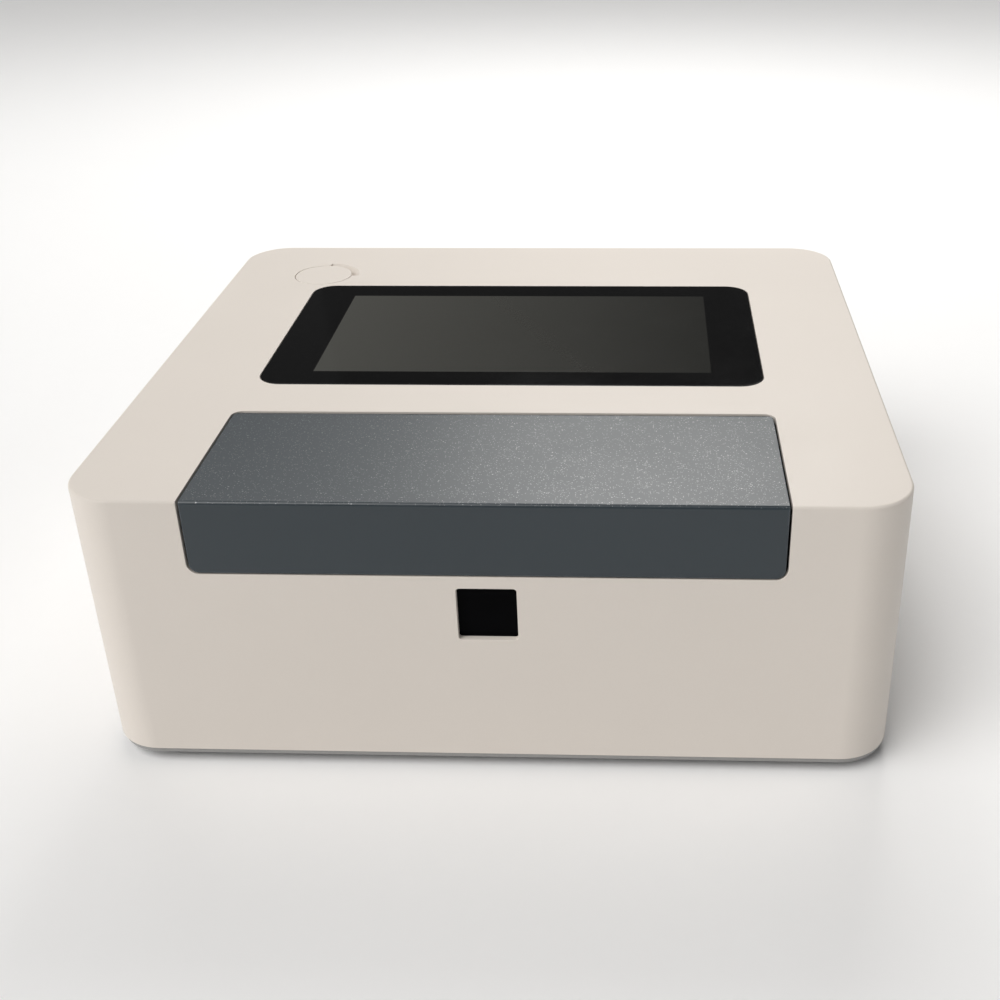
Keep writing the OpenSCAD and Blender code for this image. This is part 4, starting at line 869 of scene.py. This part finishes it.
class BuildRear(bpy.types.Operator):
    """Rear panel with its sockets, rocker switch and fan"""
    bl_idname = "instrument.rear"
    bl_label = "Rear panel"

    def execute(self, context):
        from_node("rear_panel", "Grey powder coat", PART_EDGE)
        from_node("usb_sockets", "Nickel", SHEET_EDGE)
        from_node("network_socket", "Nickel", PART_EDGE)
        from_node("power_socket", "Black moulding", PART_EDGE)
        from_node("power_switch", "Black moulding", CASE_EDGE)
        from_node("power_rocker", "Gloss black moulding", ROCKER_EDGE)
        from_node("fan_frame", "Black moulding", CASE_EDGE)
        from_node("fan_rotor", "Gloss black moulding", PART_EDGE)
        self.add_fan_screws()
        self.add_usb_tongues()
        self.add_network_contacts()
        self.add_rocker_marks()
        return {"FINISHED"}

    def add_fan_screws(self):
        """Screws through the panel into the fan's corners, copies of one of the panel's own."""
        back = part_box("cover_screws")[1].y
        fan_low, fan_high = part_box("fan_frame")
        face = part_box("rear_panel")[1].y
        mesh = bmesh.new()
        mesh.from_mesh(NODES["cover_screws"].data)
        bmesh.ops.remove_doubles(mesh, verts=mesh.verts, dist=SAME_PLACE)
        panel_screws = [v.co for v in mesh.verts if v.co.y > back - SCREW_LENGTH]
        corner = Vector((max(co.x for co in panel_screws), back, max(co.z for co in panel_screws)))
        others = [v for v in mesh.verts if (v.co - corner).length > SCREW_REACH]
        bmesh.ops.delete(mesh, geom=others, context="VERTS")
        one = list(mesh.verts) + list(mesh.edges) + list(mesh.faces)
        head = corner - Vector((HEAD_RADIUS, 0, HEAD_RADIUS))
        middle = (fan_low + fan_high)/2
        places = [Vector((middle.x + sx*FAN_PITCH/2, face + HEAD_HEIGHT, middle.z + sz*FAN_PITCH/2))
                  for sx in (-1, 1) for sz in (-1, 1)]
        sets = [one] + [bmesh.ops.duplicate(mesh, geom=one)["geom"] for place in places[1:]]
        for geometry, place in zip(sets, places):
            corners = [g for g in geometry if isinstance(g, bmesh.types.BMVert)]
            bmesh.ops.translate(mesh, vec=place - head, verts=corners)
        new_piece("fan_screws", mesh, "Nickel", "base", SCREW_EDGE)

    def add_usb_tongues(self):
        """The tongue inside each socket, with its four contacts."""
        low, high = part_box("usb_sockets")
        tongues = bmesh.new()
        contacts = bmesh.new()
        top = high.z - USB_ROOF
        under = top - TONGUE[2]
        tip = high.y - TONGUE_BACK
        end = high.y - CONTACT_BACK
        for x in (low.x + USB_WIDTH/2, high.x - USB_WIDTH/2):
            add_box(tongues, (x - TONGUE[0]/2, tip - TONGUE[1], under), (x + TONGUE[0]/2, tip, top))
            for i in range(4):
                side = x + (i - 1.5)*CONTACT_PITCH
                add_box(contacts, (side - CONTACT[0]/2, end - CONTACT[1], under - CONTACT[2]/2),
                        (side + CONTACT[0]/2, end, under + CONTACT[2]/2))
        new_piece("usb_tongues", tongues, "Black moulding", "base", PART_EDGE)
        new_piece("usb_contacts", contacts, "Gold plate", "base")

    def add_network_contacts(self):
        """Eight sprung wires that slope down from the roof of the socket."""
        low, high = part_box("network_socket")
        mesh = bmesh.new()
        slope = Matrix.Rotation(WIRE_SLOPE, 4, "X")
        for i in range(8):
            x = (low.x + high.x)/2 + (i - 3.5)*WIRE_PITCH
            place = Matrix.Translation((x, high.y - WIRE_PLACE[0], high.z - WIRE_PLACE[1]))
            add_placed_box(mesh, place @ slope, WIRE)
        new_piece("network_contacts", mesh, "Gold plate", "base")

    def add_rocker_marks(self):
        """A bar and a ring, raised on the two halves of the rocker."""
        low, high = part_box("power_rocker")
        pivot = Vector(JOINTS["rocker_tilt"]["pos_m"])
        pivot.z = (low.z + high.z)/2
        mesh = bmesh.new()
        rocker = Matrix.Translation(pivot) @ Matrix.Rotation(-ROCKER_TILT, 4, "Z")
        side, out = MARK_PLACE
        bar = rocker @ Matrix.Translation((-side, out, 0)) @ Matrix.Rotation(-ROCKER_SLOPE, 4, "Z")
        ring = rocker @ Matrix.Translation((side, out, 0)) @ Matrix.Rotation(ROCKER_SLOPE, 4, "Z")
        add_placed_box(mesh, bar, MARK_BAR)
        inner, outer = MARK_RING
        outline = [mesh.verts.new((radius, depth, 0)) for radius, depth in
                   ((inner, -SINK), (inner, SINK), (outer, SINK), (outer, -SINK))]
        edges = [mesh.edges.new((outline[i - 1], outline[i])) for i in range(4)]
        bmesh.ops.spin(mesh, geom=outline + edges, cent=(0, 0, 0), axis=(0, 1, 0), angle=2*pi, steps=40,
                       use_merge=True)
        ring_verts = [v for v in mesh.verts if v.co.length < 2*outer]
        bmesh.ops.transform(mesh, matrix=ring, verts=ring_verts)
        bmesh.ops.remove_doubles(mesh, verts=mesh.verts, dist=SAME_PLACE)
        new_piece("rocker_marks", mesh, "White print", "power_rocker")


class BuildStage(bpy.types.Operator):
    """Pale floor, soft lights and the camera"""
    bl_idname = "instrument.stage"
    bl_label = "Stage"

    def execute(self, context):
        settings = context.scene.stage_settings
        self.add_camera(context, settings)
        self.add_floor(context, settings)
        for name, at, towards, size, power, colour in LIGHTS:
            self.add_light(context, name, Vector(at), Vector(towards), size, power, colour)
        self.add_key(context)
        self.add_world(context)
        context.scene.view_settings.view_transform = "Standard"
        return {"FINISHED"}

    def add_world(self, context):
        """A dim even room that looks as pale as the far floor, without lighting the object so brightly."""
        world = bpy.data.worlds.new("Studio")
        world.use_nodes = True
        tree = world.node_tree
        sky = tree.nodes["Background"]
        sky.inputs["Color"].default_value = (1.0, 1.0, 1.0, 1.0)
        seen = add_node(tree, "ShaderNodeLightPath").outputs["Is Camera Ray"]
        added = math_node(tree, "MULTIPLY", seen, ROOM_SEEN - ROOM_LIGHT)
        tree.links.new(math_node(tree, "ADD", added, ROOM_LIGHT), sky.inputs["Strength"])
        context.scene.world = world

    def add_camera(self, context, settings):
        """The camera, turned about Z, then X, then Y from looking along +Y."""
        data = bpy.data.cameras.new("Camera")
        data.sensor_width = 36.0
        data.lens = settings.focal_mm
        data.shift_x, data.shift_y = settings.shift
        data.clip_start = 0.01
        data.dof.use_dof = False
        camera = bpy.data.objects.new("Camera", data)
        context.scene.collection.objects.link(camera)
        tilt, roll, yaw = settings.camera_turn
        turn = (Matrix.Rotation(yaw, 4, "Z") @ Matrix.Rotation(tilt, 4, "X") @ Matrix.Rotation(roll, 4, "Y")
                @ Matrix.Rotation(pi/2, 4, "X"))
        camera.matrix_world = Matrix.Translation(settings.camera_at) @ turn
        context.scene.camera = camera

    def add_floor(self, context, settings):
        """A pale round floor with the faintest texture."""
        mesh = bmesh.new()
        bmesh.ops.create_circle(mesh, cap_ends=True, segments=96, radius=FLOOR_RADIUS)
        data = bpy.data.meshes.new("Floor")
        mesh.to_mesh(data)
        mesh.free()
        floor = bpy.data.objects.new("Floor", data)
        context.scene.collection.objects.link(floor)
        plain_finish("Floor", settings.floor, grain=0.01, contrast=0.01, depth=0.00001,
                     rough=(0.6, 0.7), Specular_IOR_Level=0.2)
        floor.data.materials.append(MATERIALS["Floor"])

    def add_key(self, context):
        """A broad key light from above, a little left and front, even over the whole floor."""
        data = bpy.data.lights.new("Key", "SUN")
        data.energy = KEY_STRENGTH
        data.angle = KEY_SPREAD
        data.color = (1.0, 0.99, 0.975)
        key = bpy.data.objects.new("Key", data)
        key.matrix_world = Vector(KEY_FROM).to_track_quat("Z", "Y").to_matrix().to_4x4()
        context.scene.collection.objects.link(key)

    def add_light(self, context, name, at, towards, size, power, colour):
        """A square soft light aimed at a point."""
        data = bpy.data.lights.new(name, "AREA")
        data.shape = "SQUARE"
        data.size = size
        data.energy = power
        data.color = colour
        light = bpy.data.objects.new(name, data)
        turn = (towards - at).to_track_quat("-Z", "Y").to_matrix().to_4x4()
        light.matrix_world = Matrix.Translation(at) @ turn
        context.scene.collection.objects.link(light)


BUILDERS = (BuildStage, BuildCover, BuildLid, BuildDisplay, BuildScanner, BuildTubeWell, BuildCompartment,
            BuildOptics, BuildElectronics, BuildRear)


class InstrumentPanel(bpy.types.Panel):
    """Buttons that build the instrument's looks"""
    bl_idname = "VIEW3D_PT_instrument"
    bl_label = "Bench spectrophotometer"
    bl_space_type = "VIEW_3D"
    bl_region_type = "UI"
    bl_category = "Instrument"

    def draw(self, context):
        column = self.layout.column()
        for builder in BUILDERS:
            column.operator(builder.bl_idname)
        for name in SETTINGS:
            settings = getattr(context.scene, name)
            box = self.layout.box()
            for field in settings.__annotations__:
                box.prop(settings, field)


SETTINGS = {"cover_settings": CoverSettings, "screen_settings": DisplaySettings,
            "stage_settings": StageSettings}


def register():
    """Registers the settings, operators and panel."""
    for name, group in SETTINGS.items():
        bpy.utils.register_class(group)
        setattr(bpy.types.Scene, name, PointerProperty(type=group))
    for builder in BUILDERS:
        bpy.utils.register_class(builder)
    bpy.utils.register_class(InstrumentPanel)


def unregister():
    """Removes them again."""
    bpy.utils.unregister_class(InstrumentPanel)
    for builder in reversed(BUILDERS):
        bpy.utils.unregister_class(builder)
    for name, group in SETTINGS.items():
        delattr(bpy.types.Scene, name)
        bpy.utils.unregister_class(group)


def main():
    """Builds everything in order."""
    register()
    build_materials()
    for builder in BUILDERS:
        group, operator = builder.bl_idname.split(".")
        getattr(getattr(bpy.ops, group), operator)()


if __name__ == "__main__":
    main()
